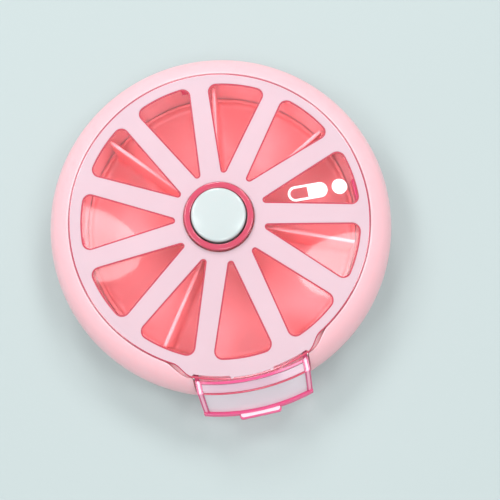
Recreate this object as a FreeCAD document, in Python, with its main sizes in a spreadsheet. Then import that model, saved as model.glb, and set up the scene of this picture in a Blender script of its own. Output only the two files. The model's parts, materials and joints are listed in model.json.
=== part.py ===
import FreeCAD, Part
import math
import os
import re

import Sketcher

# Round push-button pill organiser with a citrus-slice cover.
# Row frame: millimetres, +Z up, origin in the centre of the flat underside.
# The outlet and its flip lid point along -Y.  The lid is built shut and then
# turned open about its pins, which is how it stands at rest.

DIMENSIONS = {
    # casing: two shells that meet at the parting line
    "body_radius": 46.0,
    "body_widest_height": 13.5,
    "foot_radius": 41.5,
    "foot_round": 1.2,
    "rim_radius": 39.2,
    "rim_height": 22.6,
    "split_height": 8.8,
    "split_groove": 0.35,
    "floor_thickness": 1.8,
    "shell_thickness": 1.8,
    "shell_foot_thickness": 2.3,
    "cavity_shoulder_height": 16.6,
    "cavity_top_height": 19.2,
    "drum_inner": 37.2,
    "drum_outer": 38.8,
    "cover_seat_height": 20.9,
    "clip_groove_low": 17.4,
    "clip_groove_high": 18.8,
    "clip_groove_depth": 0.7,
    # outlet recess in the casing
    "outlet_half_width": 15.0,
    "outlet_inner": 30.0,
    "sill_radius": 42.6,
    "cavity_sweep": 300.0,
    # how far a cut runs past the solid, and a pad into the one it joins
    "cut_margin": 2.0,
    "weld": 0.3,
    # cover and the print on it
    "cover_radius": 39.0,
    "cover_edge_height": 22.5,
    "dome_rise": 1.7,
    "cover_thickness": 1.5,
    "tongue_radius": 41.2,
    "tongue_angle": 21.1,
    "tongue_root_angle": 28.0,
    "tongue_gap": 0.2,
    "collar_outer": 8.9,
    "collar_inner": 7.3,
    "collar_top": 25.7,
    "collar_foot": 21.8,
    "collar_round": 0.35,
    "clip_count": 4.0,
    "clip_inner": 36.0,
    "clip_outer": 37.0,
    "clip_nose": 37.7,
    "clip_half_width": 3.0,
    "clip_foot": 17.6,
    "clip_nose_top": 18.6,
    "print_thickness": 0.2,
    "print_margin": 0.3,
    "print_turn": -1.6,
    "window_count": 11.0,
    "window_outer": 36.3,
    "spoke_half_width": 2.4,
    "window_tip_round": 0.8,
    "window_corner_round": 2.2,
    "mark_left": 20.5,
    "mark_side": 2.3,
    "mark_half_height": 2.0,
    "mark_length": 6.4,
    "mark_line": 0.6,
    "mark_tablet_offset": 11.6,
    # centre post, tray boss and index spring posts on the casing floor
    "post_width": 3.8,
    "post_height": 14.0,
    "boss_inner": 13.0,
    "boss_outer": 14.4,
    "boss_height": 5.1,
    "spring_post_radius": 1.2,
    "spring_post_spacing": 9.0,
    "spring_post_distance": 19.6,
    "spring_post_height": 4.8,
    # pill tray
    "tray_radius": 36.3,
    "tray_wall_radius": 35.6,
    "tray_underside": 5.6,
    "tray_floor": 7.0,
    "tray_lip_height": 8.5,
    "tray_lip_thickness": 1.0,
    "tray_wall_top": 20.6,
    "tray_wall_thickness": 1.2,
    "tray_wall_count": 7.0,
    "tray_fillet": 1.2,
    "tray_turn": 29.5,
    "tray_hub_inner": 8.5,
    "tray_hub_outer": 9.8,
    "spigot_inner": 14.6,
    "spigot_outer": 16.2,
    "spigot_foot": 3.0,
    "index_notch_depth": 0.6,
    "index_notch_half_width": 1.4,
    # ratchet ring, washers and index spring
    "ratchet_outer": 12.6,
    "ratchet_root": 11.7,
    "ratchet_tip": 10.7,
    "ratchet_low": 3.3,
    "ratchet_teeth": 14.0,
    "ratchet_ramp_sweep": 300.0,
    "tray_washer_thickness": 0.4,
    "rotor_washer_inner": 5.0,
    "rotor_washer_outer": 8.2,
    "rotor_washer_thickness": 0.5,
    "index_spring_thickness": 0.4,
    "index_spring_low": 2.4,
    "index_spring_high": 4.5,
    "index_spring_hook": 0.6,
    "index_bump": 1.6,
    # drive rotor and its pawl ring
    "rotor_bore": 4.3,
    "rotor_outer": 6.2,
    "rotor_foot": 2.4,
    "rotor_flange_radius": 8.8,
    "rotor_flange_top": 3.5,
    "rotor_top": 15.9,
    "slot_height": 3.4,
    "slot_lead_in": 15.0,
    "pawl_ring_inner": 6.3,
    "pawl_ring_outer": 7.3,
    "pawl_top": 5.0,
    "pawl_reach": 10.4,
    "pawl_thickness": 0.9,
    "pawl_sweep": 62.0,
    # button, plunger, cross pin and springs
    "button_stroke": 4.0,
    "index_step": 51.428571,
    "button_radius": 7.0,
    "button_top": 27.0,
    "button_edge_height": 26.5,
    "button_edge_round": 0.7,
    "button_plate_underside": 25.3,
    "button_skirt_inner": 5.9,
    "button_foot": 20.4,
    "button_flange_radius": 8.0,
    "button_flange_top": 21.6,
    "button_socket_outer": 5.2,
    "button_socket_foot": 21.8,
    "plunger_radius": 4.0,
    "plunger_bore": 4.1,
    "plunger_foot": 9.8,
    "plunger_bore_top": 19.6,
    "plunger_top": 25.3,
    "drive_pin_height": 12.4,
    "drive_pin_radius": 0.9,
    "drive_pin_inner": 2.3,
    "drive_pin_outer": 5.9,
    "press_gap": 0.04,
    "seat_inner": 2.9,
    "seat_outer": 3.9,
    "seat_thickness": 0.3,
    "spring_radius": 3.3,
    "spring_wire_radius": 0.28,
    "spring_turns": 5.0,
    # flip lid, drawn shut
    "lid_half_width": 14.6,
    "lid_thickness": 1.1,
    "lid_sweep": 46.0,
    "lid_strip_radius": 42.8,
    "lid_strip_height": 20.1,
    "lid_bend_radius": 45.5,
    "lid_bend_height": 18.3,
    "lid_foot_radius": 45.5,
    "lid_foot_height": 8.1,
    "lid_inner_strip_radius": 42.2,
    "lid_inner_strip_height": 19.2,
    "lid_inner_bend_height": 17.7,
    "lid_bead": 0.6,
    "lid_bead_height": 1.2,
    "lid_cheek_thickness": 1.1,
    "lid_cheek_depth": 3.2,
    "lid_cheek_foot": 1.2,
    "lid_cheek_elbow_drop": 2.4,
    "lid_cheek_hip": 1.35,
    "lid_cheek_inset": 0.2,
    "lid_tab_half_width": 5.5,
    "lid_tab_reach": 47.2,
    "lid_tab_thickness": 0.9,
    "lid_tab_round": 0.8,
    "lid_open_angle": 35.0,
    "pivot_distance": 38.6,
    "pivot_height": 19.1,
    "pivot_boss_radius": 1.45,
    "pin_radius": 0.75,
    "pin_hole_radius": 0.8,
    "pin_outer_end": 16.8,
    "pin_hole_end": 17.0,
}

# Formulas used by more than one sub-part, written with the sheet's names
SHOULDER_RADIUS = ("((body_radius - rim_radius)^2 + (rim_height - body_widest_height)^2)"
                   " / (2 * (body_radius - rim_radius))")
BELLY_RADIUS = ("((body_radius - foot_radius)^2 + body_widest_height^2)"
                " / (2 * (body_radius - foot_radius))")
DOME_RADIUS = "(cover_radius^2 + dome_rise^2) / (2 * dome_rise)"
TURN_LEFT = 1
TURN_RIGHT = -1
TOLERANCE = 0.01
SHEET_NAME = "dimensions"
FUNCTIONS = ("sqrt", "sin", "cos", "tan")

document = FreeCAD.newDocument("pill_organiser")
sheet = document.addObject("Spreadsheet::Sheet", SHEET_NAME)
finished = []


def fill_sheet():
    for row, (name, number) in enumerate(DIMENSIONS.items(), start=1):
        sheet.set("A%d" % row, name)
        sheet.set("B%d" % row, str(number))
        sheet.setAlias("B%d" % row, name)
    document.recompute()


def value(formula):
    """The number that a formula of sheet names comes to."""
    result = sheet.evalExpression(str(formula))
    return float(getattr(result, "Value", result))


def bound(formula):
    """The same formula, as an object outside the sheet has to write it."""
    def with_sheet(match):
        word = match.group(0)
        return word if word in FUNCTIONS else SHEET_NAME + "." + word
    return re.sub(r"[a-z][a-z_]+", with_sheet, str(formula))


# ---------------------------------------------------------------- sketching

def new_body(label):
    return document.addObject("PartDesign::Body", label)


def new_sketch(body, name, role="XY_Plane", height=None):
    sketch = body.newObject("Sketcher::SketchObject", name)
    plane = next(item for item in body.Origin.OriginFeatures if item.Role == role)
    sketch.AttachmentSupport = [(plane, "")]
    sketch.MapMode = "FlatFace"
    if height is not None:
        sketch.setExpression("AttachmentOffset.Base.z", bound(height))
    return sketch


def bind(sketch, constraint, formula):
    index = sketch.addConstraint(constraint)
    sketch.setExpression("Constraints[%d]" % index, bound(formula))


def place_point(sketch, edge, end, x, y):
    """Hold one end of an edge at the formulas x and y."""
    if str(x) == "0":
        sketch.addConstraint(Sketcher.Constraint("PointOnObject", edge, end, -2))
    else:
        bind(sketch, Sketcher.Constraint("DistanceX", -1, 1, edge, end, value(x)), x)
    if str(y) == "0":
        sketch.addConstraint(Sketcher.Constraint("PointOnObject", edge, end, -1))
    else:
        bind(sketch, Sketcher.Constraint("DistanceY", -1, 1, edge, end, value(y)), y)


def arc_between(start, end, radius, turn):
    """The shorter arc from start to end, and whether it runs backwards."""
    chord = end - start
    half = chord.Length / 2.0
    left = FreeCAD.Vector(-chord.y, chord.x, 0).normalize()
    centre = (start + end) * 0.5 + left * turn * math.sqrt(radius ** 2 - half ** 2)
    first, last = (start, end) if turn == TURN_LEFT else (end, start)
    angles = [math.atan2(p.y - centre.y, p.x - centre.x) for p in (first, last)]
    circle = Part.Circle(centre, FreeCAD.Vector(0, 0, 1), radius)
    return Part.ArcOfCircle(circle, angles[0], angles[1])


def outline(sketch, corners):
    """A closed loop.  A corner is (x, y), or (x, y, radius, turn) to leave it by an arc."""
    points = [FreeCAD.Vector(value(c[0]), value(c[1]), 0) for c in corners]
    edges = []
    for index, corner in enumerate(corners):
        start = points[index]
        end = points[(index + 1) % len(corners)]
        if len(corner) == 2:
            edge = sketch.addGeometry(Part.LineSegment(start, end))
            edges.append((edge, 1, 2))
            continue
        radius, turn = corner[2], corner[3]
        edge = sketch.addGeometry(arc_between(start, end, value(radius), turn))
        edges.append((edge, 1, 2) if turn == TURN_LEFT else (edge, 2, 1))
    for index, corner in enumerate(corners):
        edge, first, last = edges[index]
        following, following_first, following_last = edges[(index + 1) % len(corners)]
        sketch.addConstraint(Sketcher.Constraint("Coincident", edge, last, following, following_first))
    for index, corner in enumerate(corners):
        edge, first, last = edges[index]
        place_point(sketch, edge, first, corner[0], corner[1])
        if len(corner) == 4:
            bind(sketch, Sketcher.Constraint("Radius", edge, value(corner[2])), corner[2])


def circle(sketch, radius, x="0", y="0"):
    centre = FreeCAD.Vector(value(x), value(y), 0)
    edge = sketch.addGeometry(Part.Circle(centre, FreeCAD.Vector(0, 0, 1), value(radius)))
    place_point(sketch, edge, 3, x, y)
    bind(sketch, Sketcher.Constraint("Radius", edge, value(radius)), radius)


def rectangle(sketch, left, low, right, high):
    outline(sketch, [(left, low), (right, low), (right, high), (left, high)])


# ---------------------------------------------------------------- features

def revolve(body, name, corners, kind="PartDesign::Revolution", role="XZ_Plane", sweep=None):
    """Turn an outline of (radius, height) corners about Z."""
    sketch = new_sketch(body, name + "_profile", role)
    outline(sketch, corners)
    feature = body.newObject(kind, name)
    feature.Profile = sketch
    feature.ReferenceAxis = (sketch, ["V_Axis"])
    feature.Angle = 360.0
    if sweep is not None:
        feature.setExpression("Angle", bound(sweep))
        feature.Midplane = True
    document.recompute()
    return feature


def pad(body, name, draw, low, high):
    """Raise what draw(sketch) puts on the plane at low up to high."""
    sketch = new_sketch(body, name + "_sketch", height=low)
    draw(sketch)
    feature = body.newObject("PartDesign::Pad", name)
    feature.Profile = sketch
    feature.setExpression("Length", bound("(%s) - (%s)" % (high, low)))
    document.recompute()
    return feature


def pocket(body, name, draw, low, high):
    """Sink what draw(sketch) puts on the plane at high down to low."""
    before = body.Shape.Volume
    sketch = new_sketch(body, name + "_sketch", height=high)
    draw(sketch)
    feature = body.newObject("PartDesign::Pocket", name)
    feature.Profile = sketch
    feature.setExpression("Length", bound("(%s) - (%s)" % (high, low)))
    document.recompute()
    if body.Shape.Volume >= before - 1e-6:
        raise RuntimeError("%s cuts nothing" % name)
    return feature


def repeat(body, feature, count):
    """Copy a feature round Z and make the pattern the body's result."""
    pattern = body.newObject("PartDesign::PolarPattern", feature.Name + "_pattern")
    pattern.Originals = [feature]
    pattern.Axis = (feature.Profile[0], ["N_Axis"])
    pattern.Angle = 360.0
    pattern.Occurrences = int(value(count))
    pattern.setExpression("Occurrences", bound(count))
    body.Tip = pattern
    document.recompute()
    return pattern


def fillet(body, radius, wanted):
    """Round the edges of the body's present shape that wanted(edge) picks."""
    names = ["Edge%d" % (i + 1) for i, edge in enumerate(body.Shape.Edges) if wanted(edge)]
    if not names:
        raise RuntimeError("no edge to round on %s" % body.Label)
    base = body.Tip
    feature = body.newObject("PartDesign::Fillet", body.Name + "_round")
    feature.Base = (base, names)
    feature.setExpression("Radius", bound(radius))
    document.recompute()
    return feature


def is_ring(radius, height):
    """A test for a full circle about Z with this radius at this height."""
    def test(edge):
        if edge.Degenerated:
            return False
        curve = edge.Curve
        return (curve.TypeId == "Part::GeomCircle"
                and abs(curve.Radius - value(radius)) < TOLERANCE
                and abs(curve.Center.z - value(height)) < TOLERANCE
                and math.hypot(curve.Center.x, curve.Center.y) < TOLERANCE)
    return test


def is_upright(edge):
    if edge.Degenerated or edge.Curve.TypeId != "Part::GeomLine":
        return False
    return abs(edge.tangentAt(edge.FirstParameter).z) > 1 - TOLERANCE


def join(kind, label, base, tool):
    """Part boolean of two document objects."""
    result = document.addObject(kind, label)
    result.Base = base
    result.Tool = tool
    document.recompute()
    return result


def finish(item):
    """Put an object on the list of sub-parts that are written out."""
    finished.append(item)
    return item


def ring(label, inner, outer, low, high):
    body = new_body(label)
    revolve(body, label + "_turned", [(inner, low), (outer, low), (outer, high), (inner, high)])
    return finish(body)


# ---------------------------------------------------------------- casing

def shoulder_at(height):
    """Outside radius of the casing above its widest height."""
    rise = "(%s - body_widest_height)" % height
    return "body_radius - (%s) + sqrt((%s)^2 - %s^2)" % (SHOULDER_RADIUS, SHOULDER_RADIUS, rise)


def belly_at(height):
    """Outside radius of the casing below its widest height."""
    drop = "(body_widest_height - %s)" % height
    return "body_radius - (%s) + sqrt((%s)^2 - %s^2)" % (BELLY_RADIUS, BELLY_RADIUS, drop)


def dome_at(radius, above="0"):
    """Height of the cover's outer face at a radius, or of a face above or below it."""
    return ("cover_edge_height + dome_rise + (%s) - (%s) + sqrt((%s)^2 - (%s)^2)"
            % (above, DOME_RADIUS, DOME_RADIUS, radius))


def cover_plan(sketch, gap="0"):
    """Plan of the cover: a circle with a shallow tongue over the outlet."""
    edge = "(cover_radius + %s)" % gap
    tongue = "(tongue_radius + %s)" % gap
    root_x, root_y = ("%s * sin(tongue_root_angle)" % edge, "%s * cos(tongue_root_angle)" % edge)
    tip_x, tip_y = ("%s * sin(tongue_angle)" % tongue, "%s * cos(tongue_angle)" % tongue)
    outline(sketch, [
        ("-(%s)" % tip_x, "-(%s)" % tip_y, tongue, TURN_LEFT),
        (tip_x, "-(%s)" % tip_y),
        (root_x, "-(%s)" % root_y, edge, TURN_LEFT),
        (edge, "0", edge, TURN_LEFT),
        ("0", edge, edge, TURN_LEFT),
        ("-" + edge, "0", edge, TURN_LEFT),
        ("-(%s)" % root_x, "-(%s)" % root_y),
    ])


def outlet_recess(sketch):
    rectangle(sketch, "-outlet_half_width", "-body_radius - cut_margin",
              "outlet_half_width", "-outlet_inner")


def lower_casing():
    body = new_body("lower_casing")
    revolve(body, "bowl", [
        ("0", "0"),
        ("foot_radius", "0", BELLY_RADIUS, TURN_LEFT),
        (belly_at("split_height"), "split_height"),
        ("drum_inner", "split_height"),
        ("drum_inner", "floor_thickness"),
        ("boss_outer", "floor_thickness"),
        ("boss_outer", "boss_height"),
        ("boss_inner", "boss_height"),
        ("boss_inner", "floor_thickness"),
        ("0", "floor_thickness"),
    ])
    fillet(body, "foot_round", is_ring("foot_radius", "0"))
    revolve(body, "bowl_cavity", [
        ("drum_outer", "floor_thickness"),
        (belly_at("floor_thickness") + " - shell_foot_thickness", "floor_thickness"),
        (belly_at("split_height") + " - shell_thickness", "split_height"),
        ("drum_outer", "split_height"),
    ], kind="PartDesign::Groove", role="YZ_Plane", sweep="cavity_sweep")

    def recess(sketch):
        half, sill = "outlet_half_width", "sqrt(sill_radius^2 - outlet_half_width^2)"
        outline(sketch, [
            ("-" + half, "-(%s)" % sill, "sill_radius", TURN_LEFT),
            (half, "-(%s)" % sill),
            (half, "-body_radius - cut_margin"),
            ("-" + half, "-body_radius - cut_margin"),
        ])
    pocket(body, "outlet_recess", recess, "-cut_margin", "split_height")

    def post(sketch):
        half = "post_width / 2"
        rectangle(sketch, "-" + half, "-" + half, half, half)
    pad(body, "centre_post", post, "floor_thickness", "post_height")

    def spring_posts(sketch):
        circle(sketch, "spring_post_radius", "spring_post_spacing", "spring_post_distance")
        circle(sketch, "spring_post_radius", "-spring_post_spacing", "spring_post_distance")
    pad(body, "index_spring_posts", spring_posts, "floor_thickness", "spring_post_height")
    return finish(body)


def upper_casing():
    body = new_body("upper_casing")
    groove_radius = "drum_inner + clip_groove_depth"
    base = "split_height + split_groove"
    revolve(body, "shoulder", [
        ("drum_inner", "split_height"),
        (belly_at("split_height") + " - split_groove * 2", "split_height"),
        (belly_at("split_height") + " - split_groove * 2", base),
        (belly_at("(%s)" % base), base, BELLY_RADIUS, TURN_LEFT),
        ("body_radius", "body_widest_height", SHOULDER_RADIUS, TURN_LEFT),
        ("rim_radius", "rim_height"),
        ("rim_radius", "cover_seat_height"),
        ("drum_inner", "cover_seat_height"),
        ("drum_inner", "clip_groove_high"),
        (groove_radius, "clip_groove_high"),
        (groove_radius, "clip_groove_low"),
        ("drum_inner", "clip_groove_low"),
    ])
    low, middle, high = "split_height", "cavity_shoulder_height", "cavity_top_height"
    revolve(body, "shoulder_cavity", [
        ("drum_outer", low),
        (belly_at(low) + " - shell_thickness", low),
        ("body_radius - shell_thickness", "body_widest_height"),
        (shoulder_at(middle) + " - shell_thickness", middle),
        ("drum_outer + shell_thickness", high),
        ("drum_outer", high),
    ], kind="PartDesign::Groove", role="YZ_Plane", sweep="cavity_sweep")
    pocket(body, "tongue_recess", lambda sketch: cover_plan(sketch, "tongue_gap"),
           "cover_seat_height", "rim_height + cut_margin")
    pocket(body, "outlet", outlet_recess, "split_height - cut_margin", "rim_height + cut_margin")

    # blind holes for the lid pins, one in each wall of the outlet
    before = body.Shape.Volume
    sketch = new_sketch(body, "pin_hole_sketch", "YZ_Plane")
    circle(sketch, "pin_hole_radius", "-pivot_distance", "pivot_height")
    holes = body.newObject("PartDesign::Pocket", "pin_holes")
    holes.Profile = sketch
    holes.Midplane = True
    holes.setExpression("Length", bound("2 * pin_hole_end"))
    document.recompute()
    if body.Shape.Volume >= before:
        raise RuntimeError("the pin holes cut nothing")
    return finish(body)


# ---------------------------------------------------------------- cover, print and mark

def clear_cover():
    body = new_body("clear_cover")
    under = "-cover_thickness"
    foot_radius = "collar_outer + 0.1"
    revolve(body, "dome", [
        ("collar_inner", "collar_foot"),
        (foot_radius, "collar_foot"),
        (foot_radius, dome_at(foot_radius, under), DOME_RADIUS, TURN_RIGHT),
        ("tongue_radius", dome_at("tongue_radius", under)),
        ("tongue_radius", dome_at("tongue_radius"), DOME_RADIUS, TURN_LEFT),
        ("collar_outer", dome_at("collar_outer")),
        ("collar_outer", "collar_top"),
        ("collar_inner", "collar_top"),
    ])
    rims = (is_ring("collar_outer", "collar_top"), is_ring("collar_inner", "collar_top"))
    fillet(body, "collar_round", lambda edge: any(test(edge) for test in rims))

    def outside_plan(sketch):
        circle(sketch, "body_radius")
        cover_plan(sketch)
    pocket(body, "plan_trim", outside_plan, "cover_seat_height - cut_margin", "collar_top + cut_margin")

    def clip(sketch):
        rectangle(sketch, "clip_inner", "-clip_half_width", "clip_outer", "clip_half_width")
    arm = pad(body, "clip_arm", clip, "clip_foot", dome_at("clip_outer", under) + " + weld")
    repeat(body, arm, "clip_count")

    def nose(sketch):
        rectangle(sketch, "clip_outer", "-clip_half_width", "clip_nose", "clip_half_width")
    hook = pad(body, "clip_nose_pad", nose, "clip_foot", "clip_nose_top")
    repeat(body, hook, "clip_count")
    return finish(body)


def thin_layer(label, inner, outer):
    """A skin of the print's thickness that lies on the cover's dome."""
    body = new_body(label)
    top = "print_thickness"
    revolve(body, label + "_skin", [
        (inner, dome_at(inner)),
        (inner, dome_at(inner, top), DOME_RADIUS, TURN_RIGHT),
        (outer, dome_at(outer, top)),
        (outer, dome_at(outer), DOME_RADIUS, TURN_LEFT),
    ])
    return body


def citrus_window(sketch):
    """One segment of the slice, near -Y, with round corners and tip."""
    sketch.setExpression("AttachmentOffset.Rotation.Angle", bound("print_turn"))
    half = "(180 / window_count)"
    along = ("sin(%s)" % half, "cos(%s)" % half)
    tip_centre = "(spoke_half_width + window_tip_round) / sin(%s)" % half
    offset = "(spoke_half_width + window_corner_round)"
    reach = "(window_outer - window_corner_round)"
    length = "sqrt(%s^2 - %s^2)" % (reach, offset)
    tip = ("window_tip_round * cos(%s)" % half,
           "-(%s) + window_tip_round * sin(%s)" % (tip_centre, half))
    side = ("%s * %s - spoke_half_width * %s" % (length, along[0], along[1]),
            "-(%s * %s + spoke_half_width * %s)" % (length, along[1], along[0]))
    grow = "window_outer / %s" % reach
    corner = ("%s * (%s * %s - %s * %s)" % (grow, length, along[0], offset, along[1]),
              "-(%s * (%s * %s + %s * %s))" % (grow, length, along[1], offset, along[0]))
    outline(sketch, [
        (tip[0], tip[1], "window_tip_round", TURN_LEFT),
        ("-(%s)" % tip[0], tip[1]),
        ("-(%s)" % side[0], side[1], "window_corner_round", TURN_LEFT),
        ("-(%s)" % corner[0], corner[1], "window_outer", TURN_LEFT),
        (corner[0], corner[1], "window_corner_round", TURN_LEFT),
        (side[0], side[1]),
    ])


def citrus_print():
    body = thin_layer("citrus_print", "collar_outer + print_margin", "tongue_radius - print_thickness")

    def outside_plan(sketch):
        circle(sketch, "body_radius")
        cover_plan(sketch, "-print_thickness")
    pocket(body, "print_trim", outside_plan, "cover_seat_height", "collar_top")
    window = pocket(body, "window", citrus_window, "cover_seat_height", "collar_top")
    repeat(body, window, "window_count")
    return finish(body)


def printed_mark():
    """A plain capsule and a round tablet, printed on one window of the cover."""
    skin = thin_layer("mark_skin", "collar_outer + cut_margin", "window_outer")
    prism = new_body("mark_prism")
    half = "mark_half_height"
    inner = "(mark_half_height - mark_line)"

    def capsule(sketch):
        outline(sketch, [
            ("0", "-" + half),
            ("mark_length", "-" + half, half, TURN_LEFT),
            ("mark_length + " + half, "0", half, TURN_LEFT),
            ("mark_length", half),
            ("0", half, half, TURN_LEFT),
            ("-" + half, "0", half, TURN_LEFT),
        ])

    def open_end(sketch):
        outline(sketch, [
            ("0", "-" + inner),
            ("mark_length / 2", "-" + inner),
            ("mark_length / 2", inner),
            ("0", inner, inner, TURN_LEFT),
            ("-" + inner, "0", inner, TURN_LEFT),
        ])

    def shapes(sketch):
        capsule(sketch)
        open_end(sketch)
        circle(sketch, half, "mark_tablet_offset", "0")
    pad(prism, "mark_pad", shapes, "cover_seat_height", "collar_top")
    place = FreeCAD.Vector(value("mark_left"), value("mark_side"), 0)
    turn = FreeCAD.Rotation(FreeCAD.Vector(0, 0, 1), value("print_turn"))
    prism.Placement = FreeCAD.Placement(turn.multVec(place), turn)
    document.recompute()
    return finish(join("Part::Common", "printed_mark", skin, prism))


# ---------------------------------------------------------------- tray and its small parts

def pill_tray():
    body = new_body("tray_moulding")
    lip_inner = "tray_radius - tray_lip_thickness"
    revolve(body, "tray_turned", [
        ("tray_hub_inner", "tray_underside"),
        ("spigot_inner", "tray_underside"),
        ("spigot_inner", "spigot_foot"),
        ("spigot_outer", "spigot_foot"),
        ("spigot_outer", "tray_underside"),
        ("tray_radius", "tray_underside"),
        ("tray_radius", "tray_lip_height"),
        (lip_inner, "tray_lip_height"),
        (lip_inner, "tray_floor"),
        ("tray_hub_outer", "tray_floor"),
        ("tray_hub_outer", "tray_wall_top"),
        ("tray_hub_inner", "tray_wall_top"),
    ])
    corners = (is_ring(lip_inner, "tray_floor"), is_ring("tray_hub_outer", "tray_floor"))
    fillet(body, "tray_fillet", lambda edge: any(test(edge) for test in corners))

    def wall(sketch):
        half = "tray_wall_thickness / 2"
        rectangle(sketch, "tray_hub_outer - weld", "-" + half, "tray_wall_radius", half)
    first = pad(body, "divider", wall, "tray_underside", "tray_wall_top")
    repeat(body, first, "tray_wall_count")
    turn_about_z(body, value("tray_turn"))

    cutter = new_body("index_notches")

    def notch(sketch):
        outline(sketch, [
            ("0", "spigot_outer - index_notch_depth"),
            ("index_notch_half_width", "spigot_outer + weld"),
            ("-index_notch_half_width", "spigot_outer + weld"),
        ])
    tooth = pad(cutter, "index_notch", notch, "spigot_foot - cut_margin", "tray_underside")
    repeat(cutter, tooth, "tray_wall_count")
    return finish(join("Part::Cut", "pill_tray", body, cutter))


def turn_about_z(item, degrees):
    item.Placement = FreeCAD.Placement(FreeCAD.Vector(), FreeCAD.Vector(0, 0, 1), degrees)
    document.recompute()


def ratchet_ring():
    body = new_body("ratchet_ring")
    revolve(body, "ratchet_turned", [
        ("ratchet_root", "ratchet_low"),
        ("ratchet_outer", "ratchet_low"),
        ("ratchet_outer", "tray_underside"),
        ("ratchet_root", "tray_underside"),
    ])
    root = "(ratchet_root + weld)"
    ramp = "(ratchet_ramp_sweep / ratchet_teeth)"

    def tooth(sketch):
        outline(sketch, [
            ("ratchet_tip", "0"),
            (root, "0"),
            ("%s * cos(%s)" % (root, ramp), "%s * sin(%s)" % (root, ramp)),
        ])
    first = pad(body, "ratchet_tooth", tooth, "ratchet_low", "tray_underside")
    repeat(body, first, "ratchet_teeth")
    return finish(body)


def index_spring():
    """A leaf spring whose bump rides over the notches of the tray's spigot."""
    body = new_body("index_spring")
    back = "(spring_post_distance - spring_post_radius)"
    front = "(%s - index_spring_thickness)" % back
    end = "(spring_post_spacing + spring_post_radius)"
    leaf = "index_spring_thickness"
    bump_back = "(%s - index_bump)" % back
    bump_front = "(%s - index_bump)" % front

    def leaf_plan(sketch):
        right = [
            ("index_bump", front),
            ("%s + %s" % (end, leaf), front),
            ("%s + %s" % (end, leaf), "spring_post_distance + index_spring_hook"),
            (end, "spring_post_distance + index_spring_hook"),
            (end, back),
            ("index_bump", back),
        ]
        left = [("-(%s)" % x, y) for x, y in reversed(right)]
        outline(sketch, [("0", bump_front)] + right + [("0", bump_back)] + left)
    pad(body, "leaf", leaf_plan, "index_spring_low", "index_spring_high")
    return finish(body)


# ---------------------------------------------------------------- drive

def drive_rotor():
    """Sleeve whose helical slots turn it as the drive pins move down."""
    body = new_body("drive_rotor")
    revolve(body, "sleeve", [
        ("rotor_bore", "rotor_foot"),
        ("rotor_flange_radius", "rotor_foot"),
        ("rotor_flange_radius", "rotor_flange_top"),
        ("rotor_outer", "rotor_flange_top"),
        ("rotor_outer", "rotor_top"),
        ("rotor_bore", "rotor_top"),
    ])
    pitch = "(button_stroke * 360 / index_step)"
    lead_in = "(%s * slot_lead_in / 360)" % pitch
    start = "(drive_pin_height - button_stroke - %s)" % lead_in
    sketch = new_sketch(body, "slot_section", "XZ_Plane")
    rectangle(sketch, "rotor_bore - weld", "%s - slot_height / 2" % start,
              "rotor_outer + weld", "%s + slot_height / 2" % start)
    slot = body.newObject("PartDesign::SubtractiveHelix", "helical_slot")
    slot.Profile = sketch
    slot.ReferenceAxis = (sketch, ["V_Axis"])
    slot.Mode = "pitch-height-angle"
    slot.setExpression("Pitch", bound(pitch))
    slot.setExpression("Height", bound("button_stroke + 2 * %s" % lead_in))
    slot.Angle = 0
    document.recompute()
    pattern = body.newObject("PartDesign::PolarPattern", "slot_pattern")
    pattern.Originals = [slot]
    pattern.Axis = (sketch, ["V_Axis"])
    pattern.Angle = 360.0
    pattern.Occurrences = 2
    body.Tip = pattern
    document.recompute()
    turn_about_z(body, -value("index_step + slot_lead_in"))
    return finish(body)


def pawl_ring():
    body = new_body("pawl_ring")
    revolve(body, "pawl_hub", [
        ("pawl_ring_inner", "rotor_flange_top"),
        ("pawl_ring_outer", "rotor_flange_top"),
        ("pawl_ring_outer", "pawl_top"),
        ("pawl_ring_inner", "pawl_top"),
    ])
    root = "(pawl_ring_outer - weld)"
    nose = "(pawl_reach - pawl_thickness)"

    def arm(sketch):
        outline(sketch, [
            (root, "0", "pawl_reach", TURN_LEFT),
            ("pawl_reach * cos(pawl_sweep)", "pawl_reach * sin(pawl_sweep)"),
            ("%s * cos(pawl_sweep)" % nose, "%s * sin(pawl_sweep)" % nose, "pawl_reach", TURN_RIGHT),
            ("%s * cos(slot_lead_in)" % root, "%s * sin(slot_lead_in)" % root),
        ])
    first = pad(body, "pawl_arm", arm, "rotor_flange_top", "pawl_top")
    repeat(body, first, "2")
    return finish(body)


# ---------------------------------------------------------------- button

def button_cap():
    body = new_body("button_cap")
    crown_rise = "(button_top - button_edge_height)"
    crown = "(button_radius^2 + %s^2) / (2 * %s)" % (crown_rise, crown_rise)
    socket = "(plunger_radius + press_gap)"
    revolve(body, "cap", [
        ("0", "button_plate_underside"),
        (socket, "button_plate_underside"),
        (socket, "button_socket_foot"),
        ("button_socket_outer", "button_socket_foot"),
        ("button_socket_outer", "button_plate_underside"),
        ("button_skirt_inner", "button_plate_underside"),
        ("button_skirt_inner", "button_foot"),
        ("button_flange_radius", "button_foot"),
        ("button_flange_radius", "button_flange_top"),
        ("button_radius", "button_flange_top"),
        ("button_radius", "button_edge_height", crown, TURN_LEFT),
        ("0", "button_top"),
    ])
    fillet(body, "button_edge_round", is_ring("button_radius", "button_edge_height"))
    return finish(body)


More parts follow.
